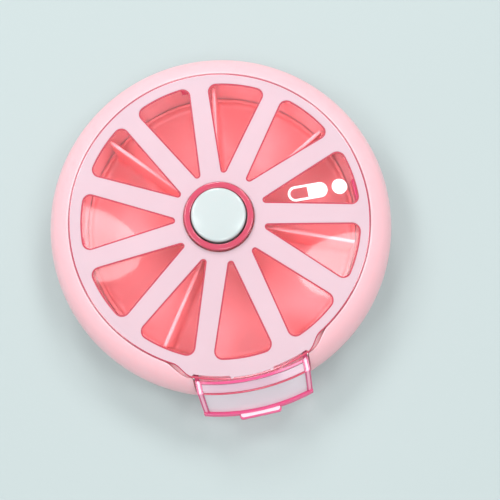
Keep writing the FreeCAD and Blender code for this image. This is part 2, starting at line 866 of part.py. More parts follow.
def button_plunger():
    body = new_body("button_plunger")
    revolve(body, "stem", [
        ("0", "plunger_foot"),
        ("plunger_radius", "plunger_foot"),
        ("plunger_radius", "plunger_top"),
        ("0", "plunger_top"),
    ])

    def square(sketch):
        half = "plunger_bore / 2"
        rectangle(sketch, "-" + half, "-" + half, half, half)
    pocket(body, "square_bore", square, "plunger_foot", "plunger_bore_top")
    before = body.Shape.Volume
    sketch = new_sketch(body, "pin_sketch", "YZ_Plane")
    circle(sketch, "drive_pin_radius + press_gap", "0", "drive_pin_height")
    holes = body.newObject("PartDesign::Pocket", "drive_pin_holes")
    holes.Profile = sketch
    holes.Midplane = True
    holes.setExpression("Length", bound("2 * plunger_radius + cut_margin"))
    document.recompute()
    if body.Shape.Volume >= before:
        raise RuntimeError("the drive pin holes cut nothing")
    return finish(body)


def cross_pins(label, radius, inner, outer, position):
    """Two round pins along X, one each side, as one sub-part."""
    pins = []
    for side in (1, -1):
        pin = document.addObject("Part::Cylinder", "%s_%s" % (label, "right" if side > 0 else "left"))
        pin.setExpression("Radius", bound(radius))
        pin.setExpression("Height", bound("(%s) - (%s)" % (outer, inner)))
        pin.Placement = FreeCAD.Placement(
            position + FreeCAD.Vector(side * value(inner), 0, 0),
            FreeCAD.Rotation(FreeCAD.Vector(0, side, 0), 90))
        pins.append(pin)
    group = document.addObject("Part::Compound", label)
    group.Links = pins
    document.recompute()
    return finish(group)


def return_spring():
    """Round wire wound from the spring seat up to the plunger."""
    body = new_body("return_spring")
    low = "(floor_thickness + seat_thickness + spring_wire_radius)"
    length = "(plunger_foot - spring_wire_radius - %s)" % low
    sketch = new_sketch(body, "wire_section", "XZ_Plane")
    circle(sketch, "spring_wire_radius", "spring_radius", low)
    coil = body.newObject("PartDesign::AdditiveHelix", "coil")
    coil.Profile = sketch
    coil.ReferenceAxis = (sketch, ["V_Axis"])
    coil.Mode = "pitch-height-angle"
    coil.setExpression("Pitch", bound("%s / spring_turns" % length))
    coil.setExpression("Height", bound(length))
    coil.Angle = 0
    document.recompute()
    return finish(body)


# ---------------------------------------------------------------- flip lid

def flip_lid():
    """Clear lid drawn shut: a sloped top strip, an upright wall, a tab and two cheeks."""
    body = new_body("flip_lid")
    skin = "lid_thickness"
    bead_top = "(lid_foot_height + lid_bead_height)"
    wall_slope = "((lid_foot_radius - lid_bend_radius) / (lid_bend_height - lid_foot_height))"
    wall_at_bead = "(lid_foot_radius - %s * lid_bead_height)" % wall_slope
    revolve(body, "lid_wall", [
        ("-lid_strip_radius", "lid_strip_height"),
        ("-lid_bend_radius", "lid_bend_height"),
        ("-" + wall_at_bead, bead_top),
        ("-(%s + lid_bead)" % wall_at_bead, bead_top),
        ("-(lid_foot_radius + lid_bead)", "lid_foot_height"),
        ("-(lid_foot_radius - %s)" % skin, "lid_foot_height"),
        ("-(lid_bend_radius - %s)" % skin, "lid_inner_bend_height"),
        ("-lid_inner_strip_radius", "lid_inner_strip_height"),
    ], role="YZ_Plane", sweep="lid_sweep")

    def sides(sketch):
        for side in ("", "-"):
            near, far = side + "lid_half_width", side + "lid_foot_radius"
            rectangle(sketch, near, "-body_radius - cut_margin", far, "-outlet_inner")
    pocket(body, "lid_sides", sides, "0", "rim_height")

    def tab(sketch):
        rectangle(sketch, "-lid_tab_half_width", "-lid_tab_reach",
                  "lid_tab_half_width", "-lid_foot_radius + weld")
    pad(body, "nail_tab", tab, "lid_foot_height", "lid_foot_height + lid_tab_thickness")
    tab_corner = value("lid_tab_reach")
    fillet(body, "lid_tab_round",
           lambda edge: is_upright(edge) and abs(edge.CenterOfMass.y + tab_corner) < TOLERANCE)
    for side in (1, -1):
        lid_cheek(body, side)
    bore = new_sketch(body, "lid_bore_sketch", "YZ_Plane")
    circle(bore, "pin_radius + press_gap", "-pivot_distance", "pivot_height")
    holes = body.newObject("PartDesign::Pocket", "lid_bores")
    holes.Profile = bore
    holes.Midplane = True
    holes.setExpression("Length", bound("2 * lid_half_width + cut_margin"))
    document.recompute()
    swing_open(body)
    return finish(body)


def lid_cheek(body, side):
    """A side plate of the lid, with the round boss that its pin goes through."""
    name = "right" if side > 0 else "left"
    start = "lid_half_width - lid_cheek_thickness" if side > 0 else "-lid_half_width"

    def edge_at(radius):
        return "sqrt((%s)^2 - lid_half_width^2)" % radius

    plate = new_sketch(body, "cheek_sketch_" + name, "YZ_Plane", height=start)
    foot = edge_at("lid_foot_radius - lid_cheek_inset")
    bend = edge_at("lid_bend_radius - lid_cheek_inset")
    outline(plate, [
        ("-pivot_distance", "pivot_height + lid_cheek_hip"),
        ("-(%s)" % bend, "lid_bend_height - lid_cheek_inset"),
        ("-(%s)" % foot, "lid_foot_height + lid_cheek_inset"),
        ("-(%s - lid_cheek_foot)" % foot, "lid_foot_height + lid_cheek_inset"),
        ("-(%s - lid_cheek_depth)" % foot, "pivot_height - lid_cheek_elbow_drop"),
        ("-pivot_distance + lid_cheek_hip", "pivot_height"),
    ])
    cheek = body.newObject("PartDesign::Pad", "cheek_" + name)
    cheek.Profile = plate
    cheek.setExpression("Length", bound("lid_cheek_thickness"))
    document.recompute()
    boss_sketch = new_sketch(body, "boss_sketch_" + name, "YZ_Plane", height=start)
    circle(boss_sketch, "pivot_boss_radius", "-pivot_distance", "pivot_height")
    boss = body.newObject("PartDesign::Pad", "pivot_boss_" + name)
    boss.Profile = boss_sketch
    boss.setExpression("Length", bound("lid_cheek_thickness"))
    document.recompute()


def pivot():
    return FreeCAD.Vector(0, -value("pivot_distance"), value("pivot_height"))


def swing_open(item):
    """Turn a part of the lid about the pins, from shut to the angle it stands at."""
    turn = FreeCAD.Rotation(FreeCAD.Vector(-1, 0, 0), value("lid_open_angle"))
    item.Placement = FreeCAD.Placement(FreeCAD.Vector(), turn, pivot())
    document.recompute()


def lid_hinge_pins():
    """The pins start just inside the cheeks and end in the walls of the outlet."""
    cross_pins("lid_hinge_pins", "pin_radius", "lid_half_width - lid_cheek_thickness - weld",
               "pin_outer_end", pivot())


def build():
    fill_sheet()
    lower_casing()
    upper_casing()
    clear_cover()
    citrus_print()
    printed_mark()
    pill_tray()
    ratchet_ring()
    ring("tray_washer", "boss_inner", "boss_outer", "boss_height",
         "boss_height + tray_washer_thickness")
    index_spring()
    ring("rotor_washer", "rotor_washer_inner", "rotor_washer_outer", "floor_thickness",
         "floor_thickness + rotor_washer_thickness")
    drive_rotor()
    pawl_ring()
    button_cap()
    button_plunger()
    pin_centre = FreeCAD.Vector(0, 0, value("drive_pin_height"))
    cross_pins("drive_pins", "drive_pin_radius", "drive_pin_inner", "drive_pin_outer", pin_centre)
    ring("spring_seat", "seat_inner", "seat_outer", "floor_thickness",
         "floor_thickness + seat_thickness")
    return_spring()
    flip_lid()
    lid_hinge_pins()


def check_document():
    document.recompute()
    for item in document.Objects:
        if "Invalid" in item.State or "Error" in item.State:
            raise RuntimeError("%s did not build: %s" % (item.Name, item.State))
    for item in finished:
        if item.Shape.isNull() or not item.Shape.isValid():
            raise RuntimeError("%s has no valid shape" % item.Label)


def write_parts():
    os.makedirs("parts", exist_ok=True)
    for item in finished:
        item.Shape.exportStep("parts/%s.step" % item.Label)
        box = item.Shape.BoundBox
        print("%-16s volume %9.2f  x %6.1f %6.1f  y %6.1f %6.1f  z %5.1f %5.1f" % (
            item.Label, item.Shape.Volume, box.XMin, box.XMax,
            box.YMin, box.YMax, box.ZMin, box.ZMax))


build()
check_document()
write_parts()
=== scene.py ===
import json
import math

import bpy
import bmesh
import numpy as np
from mathutils import Matrix, Vector
from mathutils.geometry import delaunay_2d_cdt


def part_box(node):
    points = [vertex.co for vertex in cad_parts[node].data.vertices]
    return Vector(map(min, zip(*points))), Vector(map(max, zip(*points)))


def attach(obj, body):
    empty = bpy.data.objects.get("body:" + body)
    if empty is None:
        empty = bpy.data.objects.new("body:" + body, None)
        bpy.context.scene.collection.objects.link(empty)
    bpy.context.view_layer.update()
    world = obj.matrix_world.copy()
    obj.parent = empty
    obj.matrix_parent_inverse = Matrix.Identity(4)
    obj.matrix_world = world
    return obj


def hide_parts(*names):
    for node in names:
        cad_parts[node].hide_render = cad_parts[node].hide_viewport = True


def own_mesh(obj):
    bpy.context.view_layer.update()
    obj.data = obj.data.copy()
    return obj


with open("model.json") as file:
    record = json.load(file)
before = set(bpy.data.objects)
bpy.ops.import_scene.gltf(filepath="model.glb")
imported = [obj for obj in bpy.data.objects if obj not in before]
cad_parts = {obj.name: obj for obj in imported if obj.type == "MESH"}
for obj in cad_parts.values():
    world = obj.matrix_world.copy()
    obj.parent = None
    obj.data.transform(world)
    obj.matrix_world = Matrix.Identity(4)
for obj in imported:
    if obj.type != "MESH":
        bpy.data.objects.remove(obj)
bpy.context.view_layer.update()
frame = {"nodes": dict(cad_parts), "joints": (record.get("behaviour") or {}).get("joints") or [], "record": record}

# A citrus-slice pill organiser.  Lengths here are millimetres until mesh_piece()
# scales them to metres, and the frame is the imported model's: +Z up, lid at -Y.
MM = 0.001
JOINTS = {joint["name"]: joint for joint in frame["joints"]}


def node_size(node):
    """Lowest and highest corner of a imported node, in millimetres."""
    low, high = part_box(node)
    return np.array(low) / MM, np.array(high) / MM


COVER_LOW, COVER_HIGH = node_size("clear_cover")
UPPER_LOW, UPPER_HIGH = node_size("upper_casing")
TRAY_LOW, TRAY_HIGH = node_size("pill_tray")
CAP_LOW, CAP_HIGH = node_size("button_cap")

# casing
BODY_R = UPPER_HIGH[0]
WIDEST_Z = 13.5
RIM_R = 39.2
RIM_Z = UPPER_HIGH[2]
FOOT_R = 41.5
FOOT_ROUND = 1.4
FOOT_RING = ((36.0, 0.0), (35.6, 0.35), (6.0, 0.35), (5.6, 0.0))   # section of the recess inside the foot
SPLIT_Z = UPPER_LOW[2]
SPLIT_STEP = 0.7
SPLIT_GAP = 0.35
SPLIT_EDGE_IN, SPLIT_EDGE_ROUND, SPLIT_EDGE_Z = 0.28, 0.07, 0.25
FLOOR_Z = 1.8
DRUM_R = 37.2
LEDGE_R, LEDGE_Z = 35.4, 5.2
BOSS_OUT, BOSS_IN, BOSS_Z = 14.4, 13.0, 5.1
CENTRE_HOLE_R = 3.0
POST_HALF, POST_Z = 1.9, 14.0
SPRING_POST = (9.0, 19.6)
SPRING_POST_R, SPRING_POST_Z = 1.2, 4.8
POST_ROOT = 0.2
SEAT_Z = 20.9
SILL_R = 42.6
OUTLET_HALF = 15.0
OUTLET_ROUND = 0.45
LONG_ARC, SHORT_ARC, CORNER_STEPS = 220, 40, 5
# cover and print
COVER_R = COVER_HIGH[0]
TONGUE_R = -COVER_LOW[1]
TONGUE_ANGLE = math.radians(21.1)
TONGUE_ROOT = math.radians(29.0)
COVER_Z = 22.5
DOME = 1.7
COVER_T = 1.5
COLLAR_OUT = 8.9
COLLAR_IN = 7.3
COLLAR_TOP = COVER_HIGH[2]
COLLAR_FOOT = 21.8
EDGE_T = 0.3
JOINT = 0.02
CLIP_IN, CLIP_OUT, CLIP_NOSE = 36.0, 37.0, 37.7
CLIP_HALF, CLIP_ROUND = 3.0, 0.3
CLIP_FOOT, CLIP_NOSE_TOP = 17.6, 18.6
PRINT_T = 0.2
WINDOWS = 11
SPOKE_HALF = 2.78
SPOKE_TAPER = 0.0125
WINDOW_R = 36.3
TIP_ROUND = 0.9
CORNER_ROUND = 2.2
PRINT_TURN = math.radians(-1.6)
LINE_W = 0.4
SKEW_SIDE, SKEW_TURN = 0.9, -0.0356
SKEW_SHIFT = (0.35, -0.12)
PRINT_INSET, HINGE_INSET, NEAR_INSET, BRIDGE_INSET = 0.25, 0.85, 0.45, 0.1
BRIDGE_X, BRIDGE_HALF = 5.3, 0.3
MARK_AT, MARK_HALF, MARK_LENGTH, MARK_LINE, TABLET_AT = (20.5, 2.3), 2.0, 6.4, 0.6, 11.6
# tray
TRAY_R = 37.12
WALL_END = 35.6
TRAY_UNDER = 5.6
TRAY_FLOOR = 7.0
LIP_Z = 8.5
LIP_T = 1.0
WALL_TOP = TRAY_HIGH[2]
WALL_T, WALL_DRAFT, WALL_ROUND = 1.2, 0.12, 0.25
POCKET_ROUND, POCKET_RISE = 1.6, 1.2
DIVIDERS = 7
TRAY_TURN = math.radians(29.5)
HUB_IN = 8.5
HUB_OUT = 9.8
SPIGOT_IN = 14.6
SPIGOT_OUT = 16.2
SPIGOT_FOOT = TRAY_LOW[2]
# button
CAP_R = 7.0
CAP_TOP = CAP_HIGH[2]
CAP_EDGE_Z = 26.5
CAP_FOOT = CAP_LOW[2]
FLANGE_R = CAP_HIGH[0]
CAP_REST = Vector((0.0, 0.15, 0.0))    # it rests a little off centre in its bore
CAP_EDGE, CAP_HOLLOW_R, CAP_HOLLOW_Z = 0.7, 5.9, 25.3
FLANGE_TOP = 21.6
AXIS_R = 0.02
SPRING_WIRE, SPRING_R, SPRING_TURNS, SPRING_SIDES, SPRING_STEPS = 0.28, 3.3, 6.5, 12, 260
# lid, drawn shut and then turned open about its pins
LID_HALF = 14.6
LID_T = 1.1
LID_OPEN = math.radians(35.0)
STRIP_EDGE, BEND, LID_FOOT = (42.8, 20.1), (45.5, 18.3), (45.5, 8.1)
STRIP_INNER, BEND_INNER, FOOT_INNER = (42.2, 19.2), (44.4, 17.7), (44.4, 8.1)
FRAME_W = 1.5
RIB_LINE = 0.35
CHEEK_T = 1.1
LINE_PROUD, RIB_PROUD, BEAD_PROUD, PANEL_SHY = 0.12, 0.04, 0.6, 0.1
CHEEK_SHY = 0.2
BOSS_R = 1.45
TAB_HALF, TAB_REACH, TAB_T = 5.5, 47.2, 0.9
TAB_RIM, TAB_STEP, TAB_ROUND = 0.3, 0.15, 0.8
PIVOT = Vector(JOINTS["lid_flip"]["pos_m"]) / MM


# ---------------------------------------------------------------- shapes in the plane

def arc(centre, radius, start, end, count):
    """Points of an arc, both ends included; angles in degrees."""
    turn = np.radians(np.linspace(start, end, count))
    return [(centre[0] + radius * math.cos(t), centre[1] + radius * math.sin(t)) for t in turn]


def rounded(corners, steps=5):
    """An open or closed outline with round corners: (x, y) or (x, y, radius)."""
    points = []
    count = len(corners)
    for index, corner in enumerate(corners):
        here = Vector(corner[:2])
        if len(corner) == 2 or corner[2] == 0:
            points.append(tuple(here))
            continue
        before = (Vector(corners[index - 1][:2]) - here).normalized()
        after = (Vector(corners[(index + 1) % count][:2]) - here).normalized()
        half = before.angle(after) / 2
        reach = corner[2] / math.tan(half)
        centre = here + (before + after).normalized() * corner[2] / math.sin(half)
        first, last = here + before * reach - centre, here + after * reach - centre
        sweep = first.angle_signed(last)
        for step in range(steps + 1):
            turned = first.copy()
            turned.rotate(Matrix.Rotation(-sweep * step / steps, 2))
            points.append(tuple(centre + turned))
    return points


def smooth(t):
    """An S-curve from 0 to 1."""
    t = min(1.0, max(0.0, t))
    return t * t * (3 - 2 * t)


def shoulder_radius():
    """Radius of the casing's curve above its widest level."""
    return ((BODY_R - RIM_R) ** 2 + (RIM_Z - WIDEST_Z) ** 2) / (2 * (BODY_R - RIM_R))


def belly_radius():
    """Radius of the casing's curve below its widest level."""
    return ((BODY_R - FOOT_R) ** 2 + WIDEST_Z ** 2) / (2 * (BODY_R - FOOT_R))


def outside_at(z):
    """Outside radius of the casing at a height."""
    curve = shoulder_radius() if z > WIDEST_Z else belly_radius()
    return BODY_R - curve + math.sqrt(curve ** 2 - (z - WIDEST_Z) ** 2)


def dome_at(r):
    """Height of the cover's outer face at a radius."""
    curve = (COVER_R ** 2 + DOME ** 2) / (2 * DOME)
    return COVER_Z + DOME - curve + math.sqrt(curve ** 2 - r ** 2)


def from_lid_axis(angle):
    """How far round a direction is from -Y, in radians."""
    return abs((angle + math.pi / 2 + math.pi) % (2 * math.pi) - math.pi)


def tongue_share(angle):
    """1 over the outlet, 0 round the rest of the cover, and an S-curve between."""
    return smooth((TONGUE_ROOT - from_lid_axis(angle)) / (TONGUE_ROOT - TONGUE_ANGLE))


def cover_edge(angle, inset=0.0):
    """Radius of the cover's outline in one direction, tongue included."""
    return COVER_R + (TONGUE_R - COVER_R) * tongue_share(angle) - inset


# ---------------------------------------------------------------- meshes

def mesh_piece(name, points, faces, body, slot, material, smooth_angle=40.0):
    """A new object in metres, riding on a CAD body."""
    mesh = bpy.data.meshes.new(name)
    mesh.from_pydata([tuple(c * MM for c in p) for p in points], [], faces)
    work = bmesh.new()
    work.from_mesh(mesh)
    bmesh.ops.remove_doubles(work, verts=work.verts, dist=0.002 * MM)
    bmesh.ops.dissolve_degenerate(work, edges=work.edges, dist=0.001 * MM)
    bmesh.ops.recalc_face_normals(work, faces=work.faces)
    work.to_mesh(mesh)
    work.free()
    piece = bpy.data.objects.new(name, mesh)
    bpy.context.scene.collection.objects.link(piece)
    mesh.materials.append(material)
    shade(piece, smooth_angle)
    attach(piece, body)
    return piece


def shade(piece, smooth_angle):
    """Smooth faces with creases where they meet at more than an angle."""
    mesh = piece.data
    mesh.polygons.foreach_set("use_smooth", [True] * len(mesh.polygons))
    mesh.set_sharp_from_angle(angle=math.radians(smooth_angle))


def bevel(piece, width, segments=3, limit=35.0):
    """Round every edge sharper than a limit."""
    modifier = piece.modifiers.new("edge_round", "BEVEL")
    modifier.width = width * MM
    modifier.segments = segments
    modifier.limit_method = "ANGLE"
    modifier.angle_limit = math.radians(limit)
    modifier.harden_normals = True


def end_faces(width, rows, offset=0):
    """The two flat faces that close the first and the last row."""
    last = offset + (rows - 1) * width
    return [tuple(range(offset, offset + width)), tuple(range(last, last + width))]


def grid_faces(rows, columns, wrap_rows, wrap_columns, offset=0):
    """Four-sided faces between rows of points."""
    faces = []
    for i in range(rows if wrap_rows else rows - 1):
        for j in range(columns if wrap_columns else columns - 1):
            a, b = i * columns + j, i * columns + (j + 1) % columns
            c, d = ((i + 1) % rows) * columns + (j + 1) % columns, ((i + 1) % rows) * columns + j
            faces.append((offset + a, offset + b, offset + c, offset + d))
    return faces


def lathe(name, profile, body, slot, material, count=192, shape=None, **options):
    """Turn a closed (radius, height) profile; shape(r, z, angle) may bend it."""
    points = []
    for step in range(count):
        angle = 2 * math.pi * step / count
        for r, z in profile:
            radius, height = shape(r, z, angle) if shape else (r, z)
            points.append((radius * math.cos(angle), radius * math.sin(angle), height))
    faces = grid_faces(count, len(profile), True, True)
    return mesh_piece(name, points, faces, body, slot, material, **options)


# ---------------------------------------------------------------- materials

def new_material(name):
    """An empty node material and its output."""
    material = bpy.data.materials.new(name)
    material.use_nodes = True
    tree = material.node_tree
    tree.nodes.clear()
    return material, tree, tree.nodes.new("ShaderNodeOutputMaterial")


def noise(tree, scale, detail=3.0, roughness=0.55):
    """Noise that is fixed to the object."""
    place = tree.nodes.new("ShaderNodeTexCoord")
    texture = tree.nodes.new("ShaderNodeTexNoise")
    texture.inputs["Scale"].default_value = scale
    texture.inputs["Detail"].default_value = detail
    texture.inputs["Roughness"].default_value = roughness
    tree.links.new(place.outputs["Object"], texture.inputs["Vector"])
    return texture.outputs["Fac"]


def ramp(tree, source, stops):
    """A colour or grey ramp; stops are (place, colour or number)."""
    node = tree.nodes.new("ShaderNodeValToRGB")
    elements = node.color_ramp.elements
    while len(elements) < len(stops):
        elements.new(0.5)
    for element, (place, colour) in zip(elements, stops):
        element.position = place
        grey = (colour, colour, colour) if isinstance(colour, (int, float)) else colour
        element.color = (*grey, 1.0)
    tree.links.new(source, node.inputs["Fac"])
    return node.outputs["Color"]


def bump(tree, source, strength, distance):
    node = tree.nodes.new("ShaderNodeBump")
    node.inputs["Strength"].default_value = strength
    node.inputs["Distance"].default_value = distance
    tree.links.new(source, node.inputs["Height"])
    return node.outputs["Normal"]


def shade_between(colour, change):
    return tuple(min(1.0, max(0.0, c * change)) for c in colour)


def plastic(name, colour, roughness=0.35, grain=9000.0, grain_depth=0.00002, scatter=0.0,
            variation=0.04, coat=0.0, mottle=45.0):
    """Moulded plastic: faint flow mottling in colour and gloss, and a fine grain."""
    material, tree, output = new_material(name)
    shader = tree.nodes.new("ShaderNodeBsdfPrincipled")
    tree.links.new(shader.outputs["BSDF"], output.inputs["Surface"])
    flow = noise(tree, mottle, 4.0)
    tree.links.new(ramp(tree, flow, [(0.3, shade_between(colour, 1 - variation)),
                                     (0.7, shade_between(colour, 1 + variation))]),
                   shader.inputs["Base Color"])
    patches = noise(tree, mottle * 5, 3.0)
    tree.links.new(ramp(tree, patches, [(0.3, roughness * 0.85), (0.7, roughness * 1.15)]),
                   shader.inputs["Roughness"])
    tree.links.new(bump(tree, noise(tree, grain, 2.0), 0.25, grain_depth), shader.inputs["Normal"])
    shader.inputs["Subsurface Weight"].default_value = scatter
    shader.inputs["Subsurface Radius"].default_value = (1.0, 0.45, 0.45)
    shader.inputs["Subsurface Scale"].default_value = 0.004
    shader.inputs["Coat Weight"].default_value = coat
    shader.inputs["Coat Roughness"].default_value = 0.08
    shader.inputs["IOR"].default_value = 1.5
    return material


def clear_plastic(name, tint, density, roughness=0.04):
    """Clear tinted plastic: its colour deepens with the thickness looked through."""
    material, tree, output = new_material(name)
    glass = tree.nodes.new("ShaderNodeBsdfPrincipled")
    glass.inputs["Base Color"].default_value = (1.0, 0.985, 0.985, 1.0)
    glass.inputs["Transmission Weight"].default_value = 1.0
    glass.inputs["IOR"].default_value = 1.49
    patches = noise(tree, 260.0, 3.0)
    tree.links.new(ramp(tree, patches, [(0.35, roughness * 0.6), (0.75, roughness * 1.6)]),
                   glass.inputs["Roughness"])
    tree.links.new(bump(tree, noise(tree, 150.0, 2.0), 0.06, 0.0001), glass.inputs["Normal"])
    passing = tree.nodes.new("ShaderNodeBsdfTransparent")
    passing.inputs["Color"].default_value = (0.99, 0.95, 0.96, 1.0)
    path = tree.nodes.new("ShaderNodeLightPath")
    mix = tree.nodes.new("ShaderNodeMixShader")
    tree.links.new(path.outputs["Is Shadow Ray"], mix.inputs["Fac"])
    tree.links.new(glass.outputs["BSDF"], mix.inputs[1])
    tree.links.new(passing.outputs["BSDF"], mix.inputs[2])
    tree.links.new(mix.outputs["Shader"], output.inputs["Surface"])
    inside = tree.nodes.new("ShaderNodeVolumeAbsorption")
    inside.inputs["Color"].default_value = (*tint, 1.0)
    inside.inputs["Density"].default_value = density
    tree.links.new(inside.outputs["Volume"], output.inputs["Volume"])
    return material


def thin_plastic(name, colour, alpha, roughness=0.12):
    """A thin clear wall: mostly what is behind it, with a tinted sheen of its own."""
    material = plastic(name, colour, roughness, grain=4000.0, variation=0.03, coat=0.2)
    shader = next(node for node in material.node_tree.nodes if node.type == "BSDF_PRINCIPLED")
    shader.inputs["Alpha"].default_value = alpha
    return material


def steel(name, colour, roughness, grain):
    """Drawn or ground steel, with fine streaks."""
    material, tree, output = new_material(name)
    shader = tree.nodes.new("ShaderNodeBsdfPrincipled")
    tree.links.new(shader.outputs["BSDF"], output.inputs["Surface"])
    shader.inputs["Metallic"].default_value = 1.0
    streaks = noise(tree, grain, 6.0, 0.7)
    tree.links.new(ramp(tree, streaks, [(0.3, shade_between(colour, 0.85)), (0.7, colour)]),
                   shader.inputs["Base Color"])
    tree.links.new(ramp(tree, streaks, [(0.3, roughness * 0.8), (0.7, roughness * 1.3)]),
                   shader.inputs["Roughness"])
    tree.links.new(bump(tree, streaks, 0.2, 0.00003), shader.inputs["Normal"])
    return material


def floor_material():
    """Pale seamless paper."""
    material, tree, output = new_material("floor_paper")
    shader = tree.nodes.new("ShaderNodeBsdfPrincipled")
    tree.links.new(shader.outputs["BSDF"], output.inputs["Surface"])
    greys = [(0.3, (0.385, 0.445, 0.445)), (0.7, (0.40, 0.462, 0.462))]
    tree.links.new(ramp(tree, noise(tree, 3.0, 2.0), greys), shader.inputs["Base Color"])
    shader.inputs["Roughness"].default_value = 0.75
    tree.links.new(bump(tree, noise(tree, 900.0, 3.0), 0.15, 0.0001), shader.inputs["Normal"])
    return material


BODY_PINK = plastic("body_pink", (0.76, 0.44, 0.48), 0.34, scatter=0.45, coat=0.15, variation=0.015)
# dark red for the window outlines: partly the print's edge, partly painted shade cast by that edge on the tray
PRINT_EDGE_AND_SHADE = plastic("print_edge_and_shade", (0.42, 0.03, 0.06), 0.5, grain=14000.0, variation=0.03)
PRINT_PALE = plastic("print_pale", (0.54, 0.38, 0.43), 0.55, grain=14000.0, variation=0.02, scatter=0.1)
PRINT_WHITE = plastic("print_white", (0.95, 0.92, 0.93), 0.5, grain=14000.0, variation=0.01)
TRAY_SALMON = plastic("tray_salmon", (0.96, 0.30, 0.30), 0.38, scatter=0.3, variation=0.03, coat=0.1)
# painted light: the drum wall's pink is lighter than the body's, to lift the shade the wall stands in
DRUM_PAINTED_LIGHT_PINK = plastic("drum_pink_painted_light", (1.0, 0.62, 0.62), 0.38, scatter=0.3, variation=0.03, coat=0.1)
# the cap is white; its faint blue-green tint is painted light, the cast of the surrounding light on it
BUTTON_WHITE = plastic("button_white", (0.465, 0.515, 0.515), 0.22, grain=7000.0, scatter=0.1,
                       variation=0.01, coat=0.4)
MECHANISM_WHITE = plastic("mechanism_white", (0.85, 0.84, 0.80), 0.5, variation=0.03)
WASHER = plastic("washer_natural", (0.78, 0.74, 0.62), 0.45, variation=0.05)
CLEAR_PINK = clear_plastic("clear_pink", (1.0, 0.35, 0.62), 110.0)
EDGE_PINK = plastic("edge_pink", (0.65, 0.075, 0.21), 0.14, grain=5000.0, scatter=0.2,
                    variation=0.05, coat=0.5)
COLLAR_PINK = plastic("collar_pink", (0.50, 0.055, 0.105), 0.14, grain=5000.0, scatter=0.2,
                      variation=0.05, coat=0.5)
RIB_PINK = plastic("rib_pink", (0.96, 0.40, 0.55), 0.14, grain=5000.0, scatter=0.2, variation=0.03, coat=0.4)
LID_CLEAR = thin_plastic("lid_clear", (0.93, 0.82, 0.90), 0.5)
STRIP_CLEAR = thin_plastic("strip_clear", (0.70, 0.49, 0.59), 0.5)
TAB_PALE = plastic("tab_pale", (0.93, 0.72, 0.80), 0.2, grain=5000.0, scatter=0.2, variation=0.02, coat=0.3)
SPRING_STEEL = steel("spring_steel", (0.60, 0.61, 0.63), 0.25, 1500.0)
PIN_STEEL = steel("pin_steel", (0.70, 0.71, 0.72), 0.3, 2500.0)


# ---------------------------------------------------------------- casing

def loop_around(outer):
    """Plan of the casing at one level: a circle of radius outer, stepped in to the sill at
    the outlet.  Where outer is the smaller, the step has no depth."""
    inner = min(SILL_R, outer - 0.0005)
    wall_outer = math.sqrt(outer ** 2 - OUTLET_HALF ** 2)
    wall_inner = math.sqrt(inner ** 2 - OUTLET_HALF ** 2)
    corner = min(OUTLET_ROUND, (wall_outer - wall_inner) * 0.45)
    half = math.asin((OUTLET_HALF + corner) / outer)
    start, end = -math.pi / 2 + half, 1.5 * math.pi - half
    wall = []
    for step in range(1, CORNER_STEPS):
        turn = 0.5 * math.pi * step / CORNER_STEPS
        back, down = corner * (1 - math.sin(turn)), corner * (1 - math.cos(turn))
        wall.append((OUTLET_HALF + back, -wall_outer + down))
    low, high = -wall_outer + corner, -wall_inner - corner * 0.6
    wall += [(OUTLET_HALF, low + (high - low) * t) for t in np.linspace(0, 1, 5)]
    plan = [(outer * math.cos(t), outer * math.sin(t)) for t in np.linspace(start, end, LONG_ARC)]
    plan += [(-x, y) for x, y in wall]
    inner_half = math.asin(OUTLET_HALF / inner)
    for t in np.linspace(-math.pi / 2 - inner_half, -math.pi / 2 + inner_half, SHORT_ARC):
        plan.append((inner * math.cos(t), inner * math.sin(t)))
    return plan + wall[::-1]


def paint_drum_lighter(piece):
    """The wall round the tray gets a lighter, warmer pink than the body: painted light that lifts the shade it
    stands in behind the windows.
    """
    piece.data.materials.append(DRUM_PAINTED_LIGHT_PINK)
    for face in piece.data.polygons:
        x, y, z = (c / MM for c in face.center)
        if math.hypot(x, y) < DRUM_R + 0.4 and LEDGE_Z - 0.5 < z < SEAT_Z - 0.1:
            face.material_index = 1


def build_lower_casing():
    """Bowl: belly, foot and outlet recess outside; floor, boss and sill inside."""
    levels = [(0.0, FOOT_R - FOOT_ROUND), (0.12, FOOT_R - 0.75), (0.4, FOOT_R - 0.2)]
    levels += [(z, outside_at(z)) for z in np.linspace(0.9, SPLIT_Z - SPLIT_EDGE_Z, 16)]
    levels.append((SPLIT_Z - SPLIT_EDGE_ROUND, outside_at(SPLIT_Z) - SPLIT_EDGE_ROUND))
    levels.append((SPLIT_Z, outside_at(SPLIT_Z) - SPLIT_EDGE_IN))
    plans = [loop_around(radius) for _, radius in levels]
    points = [(x, y, z) for (z, _), plan in zip(levels, plans) for x, y in plan]
    columns = len(plans[0])
    inside = rounded([(DRUM_R, SPLIT_Z), (DRUM_R, LEDGE_Z), (LEDGE_R, LEDGE_Z, 0.3),
                      (LEDGE_R, FLOOR_Z, 0.8), (BOSS_OUT, FLOOR_Z, 0.3), (BOSS_OUT, BOSS_Z, 0.2),
                      (BOSS_IN, BOSS_Z, 0.2), (BOSS_IN, FLOOR_Z, 0.3), (CENTRE_HOLE_R, FLOOR_Z)])
    underside = rounded(FOOT_RING, 1)
    for profile, plan in ((inside, plans[-1]), (underside, plans[0])):
        angles = [math.atan2(y, x) for x, y in plan]
        points += [(r * math.cos(t), r * math.sin(t), z) for r, z in profile for t in angles]
    rows = len(levels) + len(inside)
    start = rows * columns
    faces = grid_faces(rows, columns, False, True)
    faces.append(tuple(range(start - columns, start)))
    faces += grid_faces(len(underside), columns, False, True, start)
    faces += [((j + 1) % columns, j, start + j, start + (j + 1) % columns) for j in range(columns)]
    faces.append(tuple(range(len(points) - columns, len(points))))
    piece = mesh_piece("lower_shell", points, faces, "casing", "body_pink", BODY_PINK, smooth_angle=32)
    paint_drum_lighter(piece)
    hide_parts("lower_casing")


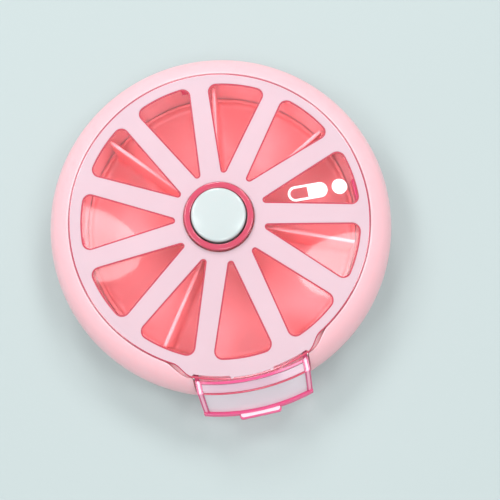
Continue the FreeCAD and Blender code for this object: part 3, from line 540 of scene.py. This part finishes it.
def upright(points, faces, plan, low, high):
    """Add a closed prism with a given plan."""
    start, width = len(points), len(plan)
    points += [(x, y, low) for x, y in plan] + [(x, y, high) for x, y in plan]
    faces += grid_faces(2, width, False, True, start)
    faces += end_faces(width, 2, start)


def build_posts():
    """Centre post that guides the plunger, and the two posts that hold the index spring."""
    points, faces, root, half = [], [], FLOOR_Z - POST_ROOT, POST_HALF
    upright(points, faces, [(-half, -half), (half, -half), (half, half), (-half, half)], root, POST_Z)
    for side in (-SPRING_POST[0], SPRING_POST[0]):
        plan = arc((side, SPRING_POST[1]), SPRING_POST_R, 0, 360, 33)[:-1]
        upright(points, faces, plan, root, SPRING_POST_Z)
    piece = mesh_piece("casing_posts", points, faces, "casing", "body_pink", BODY_PINK)
    bevel(piece, 0.15, 2)
    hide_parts("lower_casing")


def upper_profile(angle):
    """Section of the shoulder ring; the rim moves down the shoulder where the tongue passes."""
    curve, foot_r = shoulder_radius(), outside_at(SPLIT_Z)
    rim_r = cover_edge(angle) + RIM_R - COVER_R
    slope = math.degrees(math.acos((rim_r - BODY_R + curve) / curve))
    rim_z = WIDEST_Z + curve * math.sin(math.radians(slope))
    profile = [(foot_r - SPLIT_STEP, SPLIT_Z), (foot_r - SPLIT_STEP, SPLIT_Z + SPLIT_GAP),
               (foot_r - SPLIT_EDGE_IN, SPLIT_Z + SPLIT_GAP),
               (foot_r - SPLIT_EDGE_ROUND, SPLIT_Z + SPLIT_GAP + SPLIT_EDGE_ROUND)]
    profile += [(outside_at(z), z) for z in np.linspace(SPLIT_Z + SPLIT_GAP + SPLIT_EDGE_Z, WIDEST_Z, 8)]
    profile += arc((BODY_R - curve, WIDEST_Z), curve, 3, slope - 2.0, 26)
    profile += [(rim_r + 0.1, rim_z - 0.06), (rim_r, rim_z - 0.25),
                (rim_r, SEAT_Z + 0.1), (rim_r - 0.1, SEAT_Z)]
    profile += [(DRUM_R + 0.25, SEAT_Z), (DRUM_R, SEAT_Z - 0.25),
                (DRUM_R, 18.8), (DRUM_R, 14.0), (DRUM_R, SPLIT_Z)]
    return profile


def build_upper_casing():
    """Shoulder ring, open at the outlet, with a seat for the cover and its tongue."""
    points = []
    count = 300
    for step in range(count):
        share = step / (count - 1)
        outlet = math.asin(OUTLET_HALF / BODY_R)
        nominal = -math.pi / 2 + outlet + (2 * math.pi - 2 * outlet) * share
        for r, z in upper_profile(nominal):
            start = math.asin(OUTLET_HALF / r)
            angle = -math.pi / 2 + start + (2 * math.pi - 2 * start) * share
            points.append((r * math.cos(angle), r * math.sin(angle), z))
    width = len(upper_profile(0.0))
    faces = grid_faces(count, width, False, True)
    faces += end_faces(width, count)
    piece = mesh_piece("upper_shell", points, faces, "casing", "body_pink", BODY_PINK, smooth_angle=32)
    paint_drum_lighter(piece)
    bevel(piece, 0.2, 3, 50)
    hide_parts("upper_casing")


# ---------------------------------------------------------------- cover and print

def follow_tongue(r, z, angle):
    """Draw the rim of a turned piece out over the outlet, keeping it on the dome."""
    share = max(0.0, (r - COVER_R + 6.0) / 6.0)
    grown = r + (cover_edge(angle) - COVER_R) * share
    return grown, z + dome_at(grown) - dome_at(r)


def build_cover():
    """Clear dome between the collar and the edge band."""
    inner, outer = COLLAR_OUT + JOINT, COVER_R - EDGE_T - JOINT
    top = [(r, dome_at(r)) for r in np.linspace(inner, outer, 34)]
    under = [(r, dome_at(r) - COVER_T) for r in np.linspace(outer, inner, 34)]
    piece = lathe("cover_dome", top + under, "casing", "clear_pink", CLEAR_PINK, 288, follow_tongue)
    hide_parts("clear_cover")


def build_collar():
    """Raised ring that the button slides in; its thick wall shows the plastic's full colour."""
    foot = dome_at(COLLAR_OUT) - COVER_T
    profile = rounded([(COLLAR_OUT, foot), (COLLAR_OUT, COLLAR_FOOT, 0.2), (COLLAR_IN, COLLAR_FOOT, 0.2),
                       (COLLAR_IN, COLLAR_TOP, 0.3), (COLLAR_OUT, COLLAR_TOP, 0.4),
                       (COLLAR_OUT, dome_at(COLLAR_OUT))])
    piece = lathe("cover_collar", profile, "casing", "clear_pink", COLLAR_PINK, 160)
    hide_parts("clear_cover")


def build_cover_edge():
    """The cover's edge, where the clear plastic is seen end on."""
    outer, inner = COVER_R + 0.1, COVER_R - EDGE_T
    profile = rounded([(inner, dome_at(inner)), (outer, dome_at(outer), 0.2),
                       (outer, dome_at(outer) - COVER_T, 0.2), (inner, dome_at(inner) - COVER_T)])
    piece = lathe("cover_edge", profile, "casing", "clear_pink", COLLAR_PINK, 288, follow_tongue)
    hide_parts("clear_cover")


def build_clips():
    """Four hooks under the cover that snap into the casing."""
    top = dome_at(CLIP_OUT) - COVER_T - JOINT
    section = [(CLIP_IN, top), (CLIP_IN, CLIP_FOOT + CLIP_ROUND), (CLIP_IN + CLIP_ROUND, CLIP_FOOT),
               (CLIP_NOSE - 0.5, CLIP_FOOT), (CLIP_NOSE, CLIP_FOOT + 0.5), (CLIP_NOSE, CLIP_NOSE_TOP),
               (CLIP_OUT, CLIP_NOSE_TOP), (CLIP_OUT, top)]
    points, faces = [], []
    for quarter in range(4):
        start, turn = len(points), Matrix.Rotation(quarter * math.pi / 2, 3, "Z")
        for side in (-CLIP_HALF, CLIP_HALF):
            points += [tuple(turn @ Vector((r, side, z))) for r, z in section]
        width = len(section)
        faces += grid_faces(2, width, False, True, start)
        faces += end_faces(width, 2, start)
    piece = mesh_piece("cover_clips", points, faces, "casing", "clear_pink", EDGE_PINK)
    bevel(piece, 0.12, 2)
    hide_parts("clear_cover")


def window_loop():
    """One segment of the slice, centred on +X, with round corners and tip."""
    half = math.pi / WINDOWS + SPOKE_TAPER
    tip = (SPOKE_HALF + TIP_ROUND) / math.sin(half)
    offset = SPOKE_HALF + CORNER_ROUND
    reach = WINDOW_R - CORNER_ROUND
    turn = half - math.asin(offset / reach)
    corner = (reach * math.cos(turn), reach * math.sin(turn))
    degrees = math.degrees(half)
    loop = arc((corner[0], -corner[1]), CORNER_ROUND, -90 - degrees, -math.degrees(turn), 10)
    loop += arc((0, 0), WINDOW_R, -math.degrees(turn), math.degrees(turn), 26)[1:-1]
    loop += arc(corner, CORNER_ROUND, math.degrees(turn), 90 + degrees, 10)
    side_start = Vector(loop[-1])
    side_end = Vector(arc((tip, 0), TIP_ROUND, 90 + degrees, 91 + degrees, 2)[0])
    loop += [tuple(side_start.lerp(side_end, t)) for t in np.linspace(0, 1, 24)[1:-1]]
    loop += arc((tip, 0), TIP_ROUND, 90 + degrees, 270 - degrees, 9)
    loop += [(x, -y) for x, y in reversed(loop[-31:-9])]
    return loop


def turned_loop(loop, angle, shift=(0.0, 0.0)):
    """A loop turned about the origin, then moved."""
    c, s = math.cos(angle), math.sin(angle)
    return [(c * x - s * y + shift[0], s * x + c * y + shift[1]) for x, y in loop]


def skewed(loop):
    """The slice is drawn by hand: its segments lean a little past the middle of the cover."""
    moved = []
    for x, y in loop:
        r, angle = math.hypot(x, y), math.atan2(y, x)
        angle += SKEW_TURN + SKEW_SIDE / r
        moved.append((r * math.cos(angle) + SKEW_SHIFT[0], r * math.sin(angle) + SKEW_SHIFT[1]))
    return moved


def layer_on_dome(name, loops, holes, thickness, slot, material, lift=0.0):
    """A thin printed layer that lies on the cover: loops with holes, filled and raised."""
    points, edges = [], []
    for loop in loops + holes:
        start = len(points)
        points += [Vector(p) for p in loop]
        edges += [(start + i, start + (i + 1) % len(loop)) for i in range(len(loop))]
    flat, _, triangles, _, _, _ = delaunay_2d_cdt(points, edges, [], 0, 1e-6)
    keep = [t for t in triangles if inside_shape(flat, t, loops, holes)]
    used = sorted({i for t in keep for i in t})
    order = {old: new for new, old in enumerate(used)}
    keep = [tuple(order[i] for i in t) for t in keep]
    flat = [flat[i] for i in used]
    count = len(flat)
    solid = [(p.x, p.y, dome_at(p.length) + thickness + lift) for p in flat]
    solid += [(p.x, p.y, dome_at(p.length) + lift) for p in flat]
    faces = list(keep) + [tuple(i + count for i in reversed(t)) for t in keep]
    seen = {(t[i], t[(i + 1) % 3]): True for t in keep for i in range(3)}
    for a, b in seen:
        if (b, a) not in seen:
            faces.append((b, a, a + count, b + count))
    return mesh_piece(name, solid, faces, "casing", slot, material, smooth_angle=30)


def inside_loop(point, loop):
    """Whether a point of the plane lies inside a loop."""
    inside = False
    for i in range(len(loop)):
        (x1, y1), (x2, y2) = loop[i - 1], loop[i]
        if (y1 > point.y) != (y2 > point.y) and point.x < (x2 - x1) * (point.y - y1) / (y2 - y1) + x1:
            inside = not inside
    return inside


def inside_shape(flat, triangle, loops, holes):
    """Whether a triangle's middle lies inside a loop and in no hole."""
    middle = sum((flat[i] for i in triangle), Vector((0, 0))) / 3
    return any(inside_loop(middle, loop) for loop in loops) and not any(
        inside_loop(middle, hole) for hole in holes)


def print_edge(angle):
    """The print stops just short of the cover's edge, and shorter still beside the lid's hinge."""
    side = abs(TONGUE_R * math.sin(from_lid_axis(angle)))
    if from_lid_axis(angle) >= TONGUE_ANGLE:
        return cover_edge(angle, PRINT_INSET)
    if abs(side - BRIDGE_X) < BRIDGE_HALF:
        return cover_edge(angle, BRIDGE_INSET)
    return cover_edge(angle, NEAR_INSET if side < BRIDGE_X else HINGE_INSET)


def build_print():
    """The pale slice, and a thin dark line round each of its windows: partly the print's darker edge, partly
    painted shade that the print's edge casts on the tray.
    """
    rim = []
    for t in np.linspace(0, 2 * math.pi, 720, endpoint=False):
        r = print_edge(t)
        rim.append((r * math.cos(t), r * math.sin(t)))
    eye = arc((0, 0), COLLAR_OUT + 0.3, 0, 360, 97)[:-1]
    window = window_loop()
    first = PRINT_TURN - math.pi / 2
    windows = [skewed(turned_loop(window, first + 2 * math.pi * k / WINDOWS)) for k in range(WINDOWS)]
    piece = layer_on_dome("slice_print", [rim], [eye] + windows, PRINT_T, "print_pale", PRINT_PALE)
    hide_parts("citrus_print")
    # the window outlines: partly print edge, partly painted shade along the windows' edges
    lines = layer_on_dome("window_edge_shade", windows, [inset_loop(loop, LINE_W) for loop in windows],
                          PRINT_T / 2, "print_pale", PRINT_EDGE_AND_SHADE)
    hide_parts("citrus_print")


def inset_loop(loop, distance):
    """The same anticlockwise loop, moved in by a distance."""
    moved = []
    for index, point in enumerate(loop):
        along = Vector(loop[(index + 1) % len(loop)]) - Vector(loop[index - 1])
        inward = Vector((-along.y, along.x)).normalized()
        moved.append(tuple(Vector(point) + inward * distance))
    return moved


def build_mark():
    """The generic mark in place of a word: an outlined half capsule and a tablet."""
    outside = arc((MARK_LENGTH, 0), MARK_HALF, -90, 90, 17) + arc((0, 0), MARK_HALF, 90, 270, 17)
    inner = MARK_HALF - MARK_LINE
    opening = [(MARK_LENGTH / 2, -inner), (MARK_LENGTH / 2, inner)] + arc((0, 0), inner, 90, 270, 17)
    disc = arc((TABLET_AT, 0), MARK_HALF, 0, 360, 41)[:-1]
    outside, disc, opening = (
        turned_loop(turned_loop(loop, 0, MARK_AT), PRINT_TURN) for loop in (outside, disc, opening))
    piece = layer_on_dome("capsule_mark", [outside, disc], [opening], PRINT_T, "print_white", PRINT_WHITE)
    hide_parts("printed_mark")


# ---------------------------------------------------------------- tray

def build_tray():
    """Seven open compartments: a floor with soft corners, dividers with round tops, a low lip."""
    step = 2 * math.pi / DIVIDERS
    top_half, foot_half, soft = WALL_T / 2 - WALL_DRAFT, WALL_T / 2 + WALL_DRAFT, POCKET_ROUND
    shoulder = WALL_TOP - WALL_ROUND

    def wall_height(d):
        """Height of the moulding at a distance from a divider's centre plane."""
        if d <= top_half - WALL_ROUND:
            return WALL_TOP
        if d <= top_half:
            return shoulder + math.sqrt(max(0.0, WALL_ROUND ** 2 - (d - top_half + WALL_ROUND) ** 2))
        if d <= foot_half:
            share = (d - top_half) / (foot_half - top_half)
            return shoulder - (shoulder - TRAY_FLOOR - soft) * share
        if d < foot_half + soft:
            return TRAY_FLOOR + soft - math.sqrt(soft ** 2 - (foot_half + soft - d) ** 2)
        return TRAY_FLOOR

    near = [0.0, top_half - WALL_ROUND, top_half - 0.12, top_half - 0.03, top_half,
            (top_half + foot_half) / 2, foot_half]
    near += [foot_half + soft * (1 - math.cos(t)) for t in np.linspace(0.15, math.pi / 2, 7)]
    radii = [HUB_OUT] + [HUB_OUT + soft * (1 - math.cos(t)) for t in np.linspace(0.25, math.pi / 2, 5)]
    lip_in = TRAY_R - LIP_T
    radii += list(np.linspace(HUB_OUT + soft + 1.5, lip_in - soft - 1.0, 12))
    radii += [lip_in - soft + soft * math.sin(t) for t in np.linspace(0, math.pi / 2, 7)]
    radii += [lip_in + 0.01, lip_in + 0.12, lip_in + 0.25, WALL_END - 0.01, WALL_END, TRAY_R - 0.3,
              TRAY_R - 0.1, TRAY_R]
    radii.sort()    # the dividers end inside the lip's curve

    def floor_height(r):
        if r < HUB_OUT + soft:
            return TRAY_FLOOR + soft - math.sqrt(max(0.0, soft ** 2 - (HUB_OUT + soft - r) ** 2))
        if r > TRAY_R - 0.05:
            return LIP_Z - 0.25
        if r > lip_in + 0.2:
            return LIP_Z
        if r > lip_in + 0.1:
            return LIP_Z - 0.1
        if r > lip_in:
            return LIP_Z - 0.35
        if r > lip_in - soft:
            return TRAY_FLOOR + POCKET_RISE * (1 - math.sqrt(max(0.0, 1 - ((r - lip_in + soft) / soft) ** 2)))
        return TRAY_FLOOR

    middle = list(np.linspace(0, 1, 8)[1:-1])
    points = []
    for r in radii:
        for k in range(DIVIDERS):
            base = TRAY_TURN + k * step
            full = math.asin(min(1.0, near[-1] / r))
            offsets = [math.asin(d / r) for d in near]
            offsets += [full + (step - 2 * full) * t for t in middle]
            offsets += [step - math.asin(d / r) for d in reversed(near[1:])]
            for offset in offsets:
                d = r * math.sin(min(offset, step - offset))
                z = floor_height(r)
                if r < WALL_END:
                    z = max(wall_height(d), z)
                points.append((r * math.cos(base + offset), r * math.sin(base + offset), z))
    columns = len(points) // len(radii)
    top_rows = len(radii)
    angles = [math.atan2(p[1], p[0]) for p in points[(top_rows - 1) * columns:]]
    under = rounded([(TRAY_R, TRAY_UNDER, 0.3), (SPIGOT_OUT, TRAY_UNDER), (SPIGOT_OUT, SPIGOT_FOOT, 0.3),
                     (SPIGOT_IN, SPIGOT_FOOT, 0.3), (SPIGOT_IN, TRAY_UNDER), (HUB_IN, TRAY_UNDER, 0.3),
                     (HUB_IN, WALL_TOP, 0.3), (HUB_OUT, WALL_TOP, 0.3)], 3)
    for r, z in under:
        points += [(r * math.cos(t), r * math.sin(t), z) for t in angles]
    faces = grid_faces(top_rows + len(under), columns, True, True)
    piece = mesh_piece("tray", points, faces, "tray", "tray_salmon", TRAY_SALMON, smooth_angle=50)
    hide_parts("pill_tray")


# ---------------------------------------------------------------- button

def build_button():
    """White cap with a softly crowned top; the flange under the collar keeps it in."""
    rise = CAP_TOP - CAP_EDGE_Z
    crown = (CAP_R ** 2 + rise ** 2) / (2 * rise)
    top = [(r, CAP_TOP - crown + math.sqrt(crown ** 2 - r ** 2))
           for r in np.linspace(AXIS_R, CAP_R - CAP_EDGE - 0.2, 14)]
    corner = arc((CAP_R - CAP_EDGE, CAP_EDGE_Z - CAP_EDGE + 0.09), CAP_EDGE, 84, 0, 9)
    skirt = rounded([(CAP_R, FLANGE_TOP, 0.15), (FLANGE_R, FLANGE_TOP, 0.2), (FLANGE_R, CAP_FOOT, 0.2),
                     (CAP_HOLLOW_R, CAP_FOOT, 0.2), (CAP_HOLLOW_R, CAP_HOLLOW_Z, 0.3),
                     (AXIS_R, CAP_HOLLOW_Z)], 3)
    piece = lathe("cap", top + corner + skirt, "button", "button_white", BUTTON_WHITE, 144)
    for vertex in piece.data.vertices:
        vertex.co += CAP_REST * MM
    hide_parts("button_cap")


def build_return_spring():
    """Round-wire coil with closed ends; in the real box it squashes as the button goes down."""
    low, high = (v[2] for v in node_size("return_spring"))
    path = []
    for t in np.linspace(0, 1, SPRING_STEPS):
        closed = smooth((t - 0.08) / 0.84)
        z = low + SPRING_WIRE + (high - low - 2 * SPRING_WIRE) * (0.07 * t + 0.93 * closed)
        angle = 2 * math.pi * SPRING_TURNS * t
        path.append((SPRING_R * math.cos(angle), SPRING_R * math.sin(angle), z))
    points = []
    for index, p in enumerate(path):
        before, after = Vector(path[max(0, index - 1)]), Vector(path[min(len(path) - 1, index + 1)])
        along = (after - before).normalized()
        outward = Vector((p[0], p[1], 0)).normalized()
        outward = (outward - along * outward.dot(along)).normalized()
        up = along.cross(outward)
        for side in range(SPRING_SIDES):
            turn = 2 * math.pi * side / SPRING_SIDES
            points.append(tuple(Vector(p) + (outward * math.cos(turn) + up * math.sin(turn)) * SPRING_WIRE))
    faces = grid_faces(len(path), SPRING_SIDES, False, True)
    faces += end_faces(SPRING_SIDES, len(path))
    piece = mesh_piece("coil_spring", points, faces, "casing", "spring_steel", SPRING_STEEL)
    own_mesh(piece)
    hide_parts("return_spring")
    return piece


# ---------------------------------------------------------------- lid

def open_lid(points):
    """From shut to the angle that the lid stands at."""
    turn = Matrix.Rotation(-LID_OPEN, 3, "X")
    return [tuple(turn @ (Vector(p) - PIVOT) + PIVOT) for p in points]


def lid_point(along, depth):
    """Shut lid section: along runs 0..1 down the strip and 1..2 down the wall; depth goes inward."""
    outer = [STRIP_EDGE, BEND, LID_FOOT]
    inner = [STRIP_INNER, BEND_INNER, FOOT_INNER]
    index = min(int(along), 1)
    share = along - index
    face = [Vector(path[index]).lerp(Vector(path[index + 1]), share) for path in (outer, inner)]
    return face[0].lerp(face[1], depth / LID_T)


def lid_sheet(name, rows, x_range, material, columns=2):
    """A strip of the lid: rows are (along, depth) round its section, swept over x."""
    points = []
    for x in np.linspace(x_range[0], x_range[1], columns):
        for along, depth in rows:
            r, z = lid_point(along, depth)
            points.append((x, -math.sqrt(r ** 2 - x ** 2), z))
    width = len(rows)
    faces = grid_faces(columns, width, False, True)
    faces += end_faces(width, columns)
    lid_piece(name, points, faces, material)


def lid_piece(name, points, faces, material):
    """A piece given shut, turned open, with its edges softened."""
    piece = mesh_piece(name, open_lid(points), faces, "lid", "clear_pink", material, smooth_angle=35)
    bevel(piece, 0.14, 3, 50)
    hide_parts("flip_lid")


def build_lid():
    """Clear strip and wall held in a frame whose edges show the plastic's full colour."""
    inside = LID_HALF - FRAME_W
    edge, bend, foot = 0.24, 1.0, 1.0 + (1.0 - 1.2 / 10.2)
    window = (-inside + JOINT, inside - JOINT)
    strip_gap, wall_gap = 0.03, 0.012
    lid_sheet("lid_strip", [(edge + strip_gap, 0.0), (bend - 0.1, 0.0), (bend - 0.1, LID_T),
                            (edge + strip_gap, LID_T)], window, STRIP_CLEAR, 40)
    low, high = bend + wall_gap * 3, foot - wall_gap
    lid_sheet("lid_panel", [(low, PANEL_SHY), (high, PANEL_SHY), (high, LID_T - PANEL_SHY),
                            (low, LID_T - PANEL_SHY)], window, LID_CLEAR, 40)
    lid_sheet("lid_top_edge", [(0.0, 0.0), (edge, 0.0), (edge, LID_T), (0.0, LID_T)],
              (-inside, inside), EDGE_PINK, 40)
    # painted shade: a dark line along the lid's bend, where the bend is shaded
    lid_sheet("lid_bend_painted_shade", [(bend - 0.07, 0.0), (bend, -0.02), (bend + 0.03, 0.0), (bend + 0.03, LID_T),
                           (bend, LID_T), (bend - 0.07, LID_T)], (-inside, inside), COLLAR_PINK, 40)
    lid_sheet("lid_bead", [(foot, -BEAD_PROUD), (2.0, -BEAD_PROUD), (2.0, LID_T), (foot, LID_T)],
              (-LID_HALF, LID_HALF), EDGE_PINK, 48)
    for side, label in ((-1, "left"), (1, "right")):
        build_lid_side(side, label, inside, foot)
    build_lid_tab()


def build_lid_side(side, label, inside, foot):
    """One end of the frame: a rib between two darker lines, and the cheek with its round boss."""
    rows, middle = ([(0.0, -proud), (1.0, -proud), (foot, -proud), (foot, LID_T), (1.0, LID_T), (0.0, LID_T)]
                    for proud in (LINE_PROUD, RIB_PROUD))
    steps = [inside, inside + RIB_LINE, LID_HALF - RIB_LINE - JOINT, LID_HALF - JOINT]
    for index, (name, section, material) in enumerate((("lid_line_", rows, EDGE_PINK),
                                                       ("lid_rib_", middle, RIB_PINK),
                                                       ("lid_edge_", rows, EDGE_PINK))):
        spans = sorted((side * steps[index], side * steps[index + 1]))
        lid_sheet(name + label, section, spans, material, 4)
    bend_y = math.sqrt((BEND[0] - CHEEK_SHY) ** 2 - LID_HALF ** 2)
    foot_y = math.sqrt((LID_FOOT[0] - CHEEK_SHY) ** 2 - LID_HALF ** 2)
    boss = arc((-PIVOT.y, PIVOT.z), BOSS_R, 75, 255, 19)
    low = LID_FOOT[1] + CHEEK_SHY
    plate = boss + [(foot_y - 3.2, PIVOT.z - 2.4), (foot_y - 1.2, low), (foot_y - 0.1, low),
                    (bend_y, BEND[1] - CHEEK_SHY)]
    points = []
    for x in (side * (LID_HALF - CHEEK_T), side * LID_HALF):
        points += [(x, -y, z) for y, z in plate]
    width = len(plate)
    faces = grid_faces(2, width, False, True)
    faces += end_faces(width, 2)
    lid_piece("lid_cheek_" + label, points, faces, EDGE_PINK)


def build_lid_tab():
    """Finger tab: a pale plate inside a coloured rim."""
    low, high = LID_FOOT[1], LID_FOOT[1] + TAB_T
    root = LID_FOOT[0] + TAB_RIM

    def plate(name, half, near, far, z_low, z_high, material):
        plan = rounded([(-half, -near), (-half, -far, TAB_ROUND), (half, -far, TAB_ROUND), (half, -near)])
        points = [(x, y, z_low) for x, y in plan] + [(x, y, z_high) for x, y in plan]
        width = len(plan)
        faces = grid_faces(2, width, False, True)
        faces += end_faces(width, 2)
        lid_piece(name, points, faces, material)

    plate("lid_tab_rim", TAB_HALF, root, TAB_REACH, low, high - TAB_STEP, EDGE_PINK)
    plate("lid_tab", TAB_HALF - TAB_RIM, root, TAB_REACH - TAB_RIM, high - TAB_STEP + 0.01, high, TAB_PALE)


# ---------------------------------------------------------------- stage

FLOOR_HALF = 40.0                       # metres, so that its edge stays out of view
LIGHT_REACH, LIGHT_AIM = 0.9, 0.02      # metres
RING_TILT, RING_CENTRE, RING_SIZE, RING_POWER = 34, 11, 0.24, 1.7
SKY_COLOUR, SKY_POWER = (0.96, 0.99, 1.0, 1.0), 0.55
VIEW_TURN = (-8.18, -0.53, 12.13)       # degrees: tilt, lean and roll
VIEW_OFFSET = Vector((-7.96, 8.30, -181.2))
LENS, SENSOR = 50.4, 36.0


def build_stage():
    """The floor."""
    half = FLOOR_HALF
    corners = [(-half, -half, 0), (half, -half, 0), (half, half, 0), (-half, half, 0)]
    mesh = bpy.data.meshes.new("floor")
    mesh.from_pydata(corners, [], [(0, 1, 2, 3)])
    floor = bpy.data.objects.new("floor", mesh)
    bpy.context.scene.collection.objects.link(floor)
    mesh.materials.append(floor_material())


def area_light(name, tilt_x, tilt_y, size, power, size_y=None):
    """A softbox over the object, at a tilt from upright towards +X and +Y in degrees."""
    place = Vector((math.tan(math.radians(tilt_x)), math.tan(math.radians(tilt_y)), 1)).normalized()
    place = place * LIGHT_REACH
    light = bpy.data.lights.new(name, "AREA")
    light.shape = "ELLIPSE"
    light.size = size
    light.size_y = size_y or size
    light.energy = power
    lamp = bpy.data.objects.new(name, light)
    lamp.location = place
    lamp.rotation_euler = (Vector((0, 0, LIGHT_AIM)) - place).to_track_quat("-Z", "Y").to_euler()
    bpy.context.scene.collection.objects.link(lamp)


def build_lights():
    """A ring of softboxes just outside what the cover mirrors to the camera, and two weak
    ones inside it, which put the soft glare on the windows at either side."""
    for index in range(6):
        turn = math.radians(30 + 60 * index)
        area_light("ring_%d" % index, RING_TILT * math.cos(turn), RING_CENTRE + RING_TILT * math.sin(turn),
                   RING_SIZE, RING_POWER * (1.0 + 0.2 * math.sin(turn)))
    area_light("glare_right", 18, -1, 0.16, 0.5, 0.26)
    area_light("glare_left", -23, 12, 0.18, 0.5, 0.30)
    world = bpy.data.worlds.new("studio")
    world.use_nodes = True
    world.node_tree.nodes["Background"].inputs["Color"].default_value = SKY_COLOUR
    world.node_tree.nodes["Background"].inputs["Strength"].default_value = SKY_POWER
    bpy.context.scene.world = world


def build_camera():
    """The photograph's viewing angle: nearly from above, a little from the lid's side."""
    tilt, lean, roll = (math.radians(angle) for angle in VIEW_TURN)
    turn = Matrix.Rotation(tilt, 3, "X") @ Matrix.Rotation(lean, 3, "Y") @ Matrix.Rotation(roll, 3, "Z")
    offset = VIEW_OFFSET * MM
    anchor = Vector((0, 0, COVER_Z * MM))
    camera = bpy.data.cameras.new("camera")
    camera.lens = LENS
    camera.sensor_width = SENSOR
    camera.clip_start = 0.01
    holder = bpy.data.objects.new("camera", camera)
    holder.matrix_world = Matrix.Translation(anchor - turn.transposed() @ offset) @ turn.transposed().to_4x4()
    bpy.context.scene.collection.objects.link(holder)
    bpy.context.scene.camera = holder
    bpy.context.scene.view_settings.view_transform = "Standard"


MATERIAL_OF_SLOT = {
    "mechanism_white": MECHANISM_WHITE,
    "washer_natural": WASHER,
    "spring_steel": SPRING_STEEL,
    "pin_steel": PIN_STEEL,
    "body_pink": BODY_PINK,
    "clear_pink": CLEAR_PINK,
    "print_pale": PRINT_PALE,
    "print_white": PRINT_WHITE,
    "tray_salmon": TRAY_SALMON,
    "button_white": BUTTON_WHITE,
}


def dress_nodes():
    """The CAD nodes that stay take the same procedural materials as the new pieces."""
    for row in frame["record"]["subparts"]:
        for slot in frame["nodes"][row["node"]].material_slots:
            slot.material = MATERIAL_OF_SLOT[row["material_slot"]]


dress_nodes()
build_lower_casing()
build_posts()
build_upper_casing()
build_cover()
build_collar()
build_cover_edge()
build_clips()
build_print()
build_mark()
build_tray()
build_button()
build_return_spring()
build_lid()
build_stage()
build_lights()
build_camera()
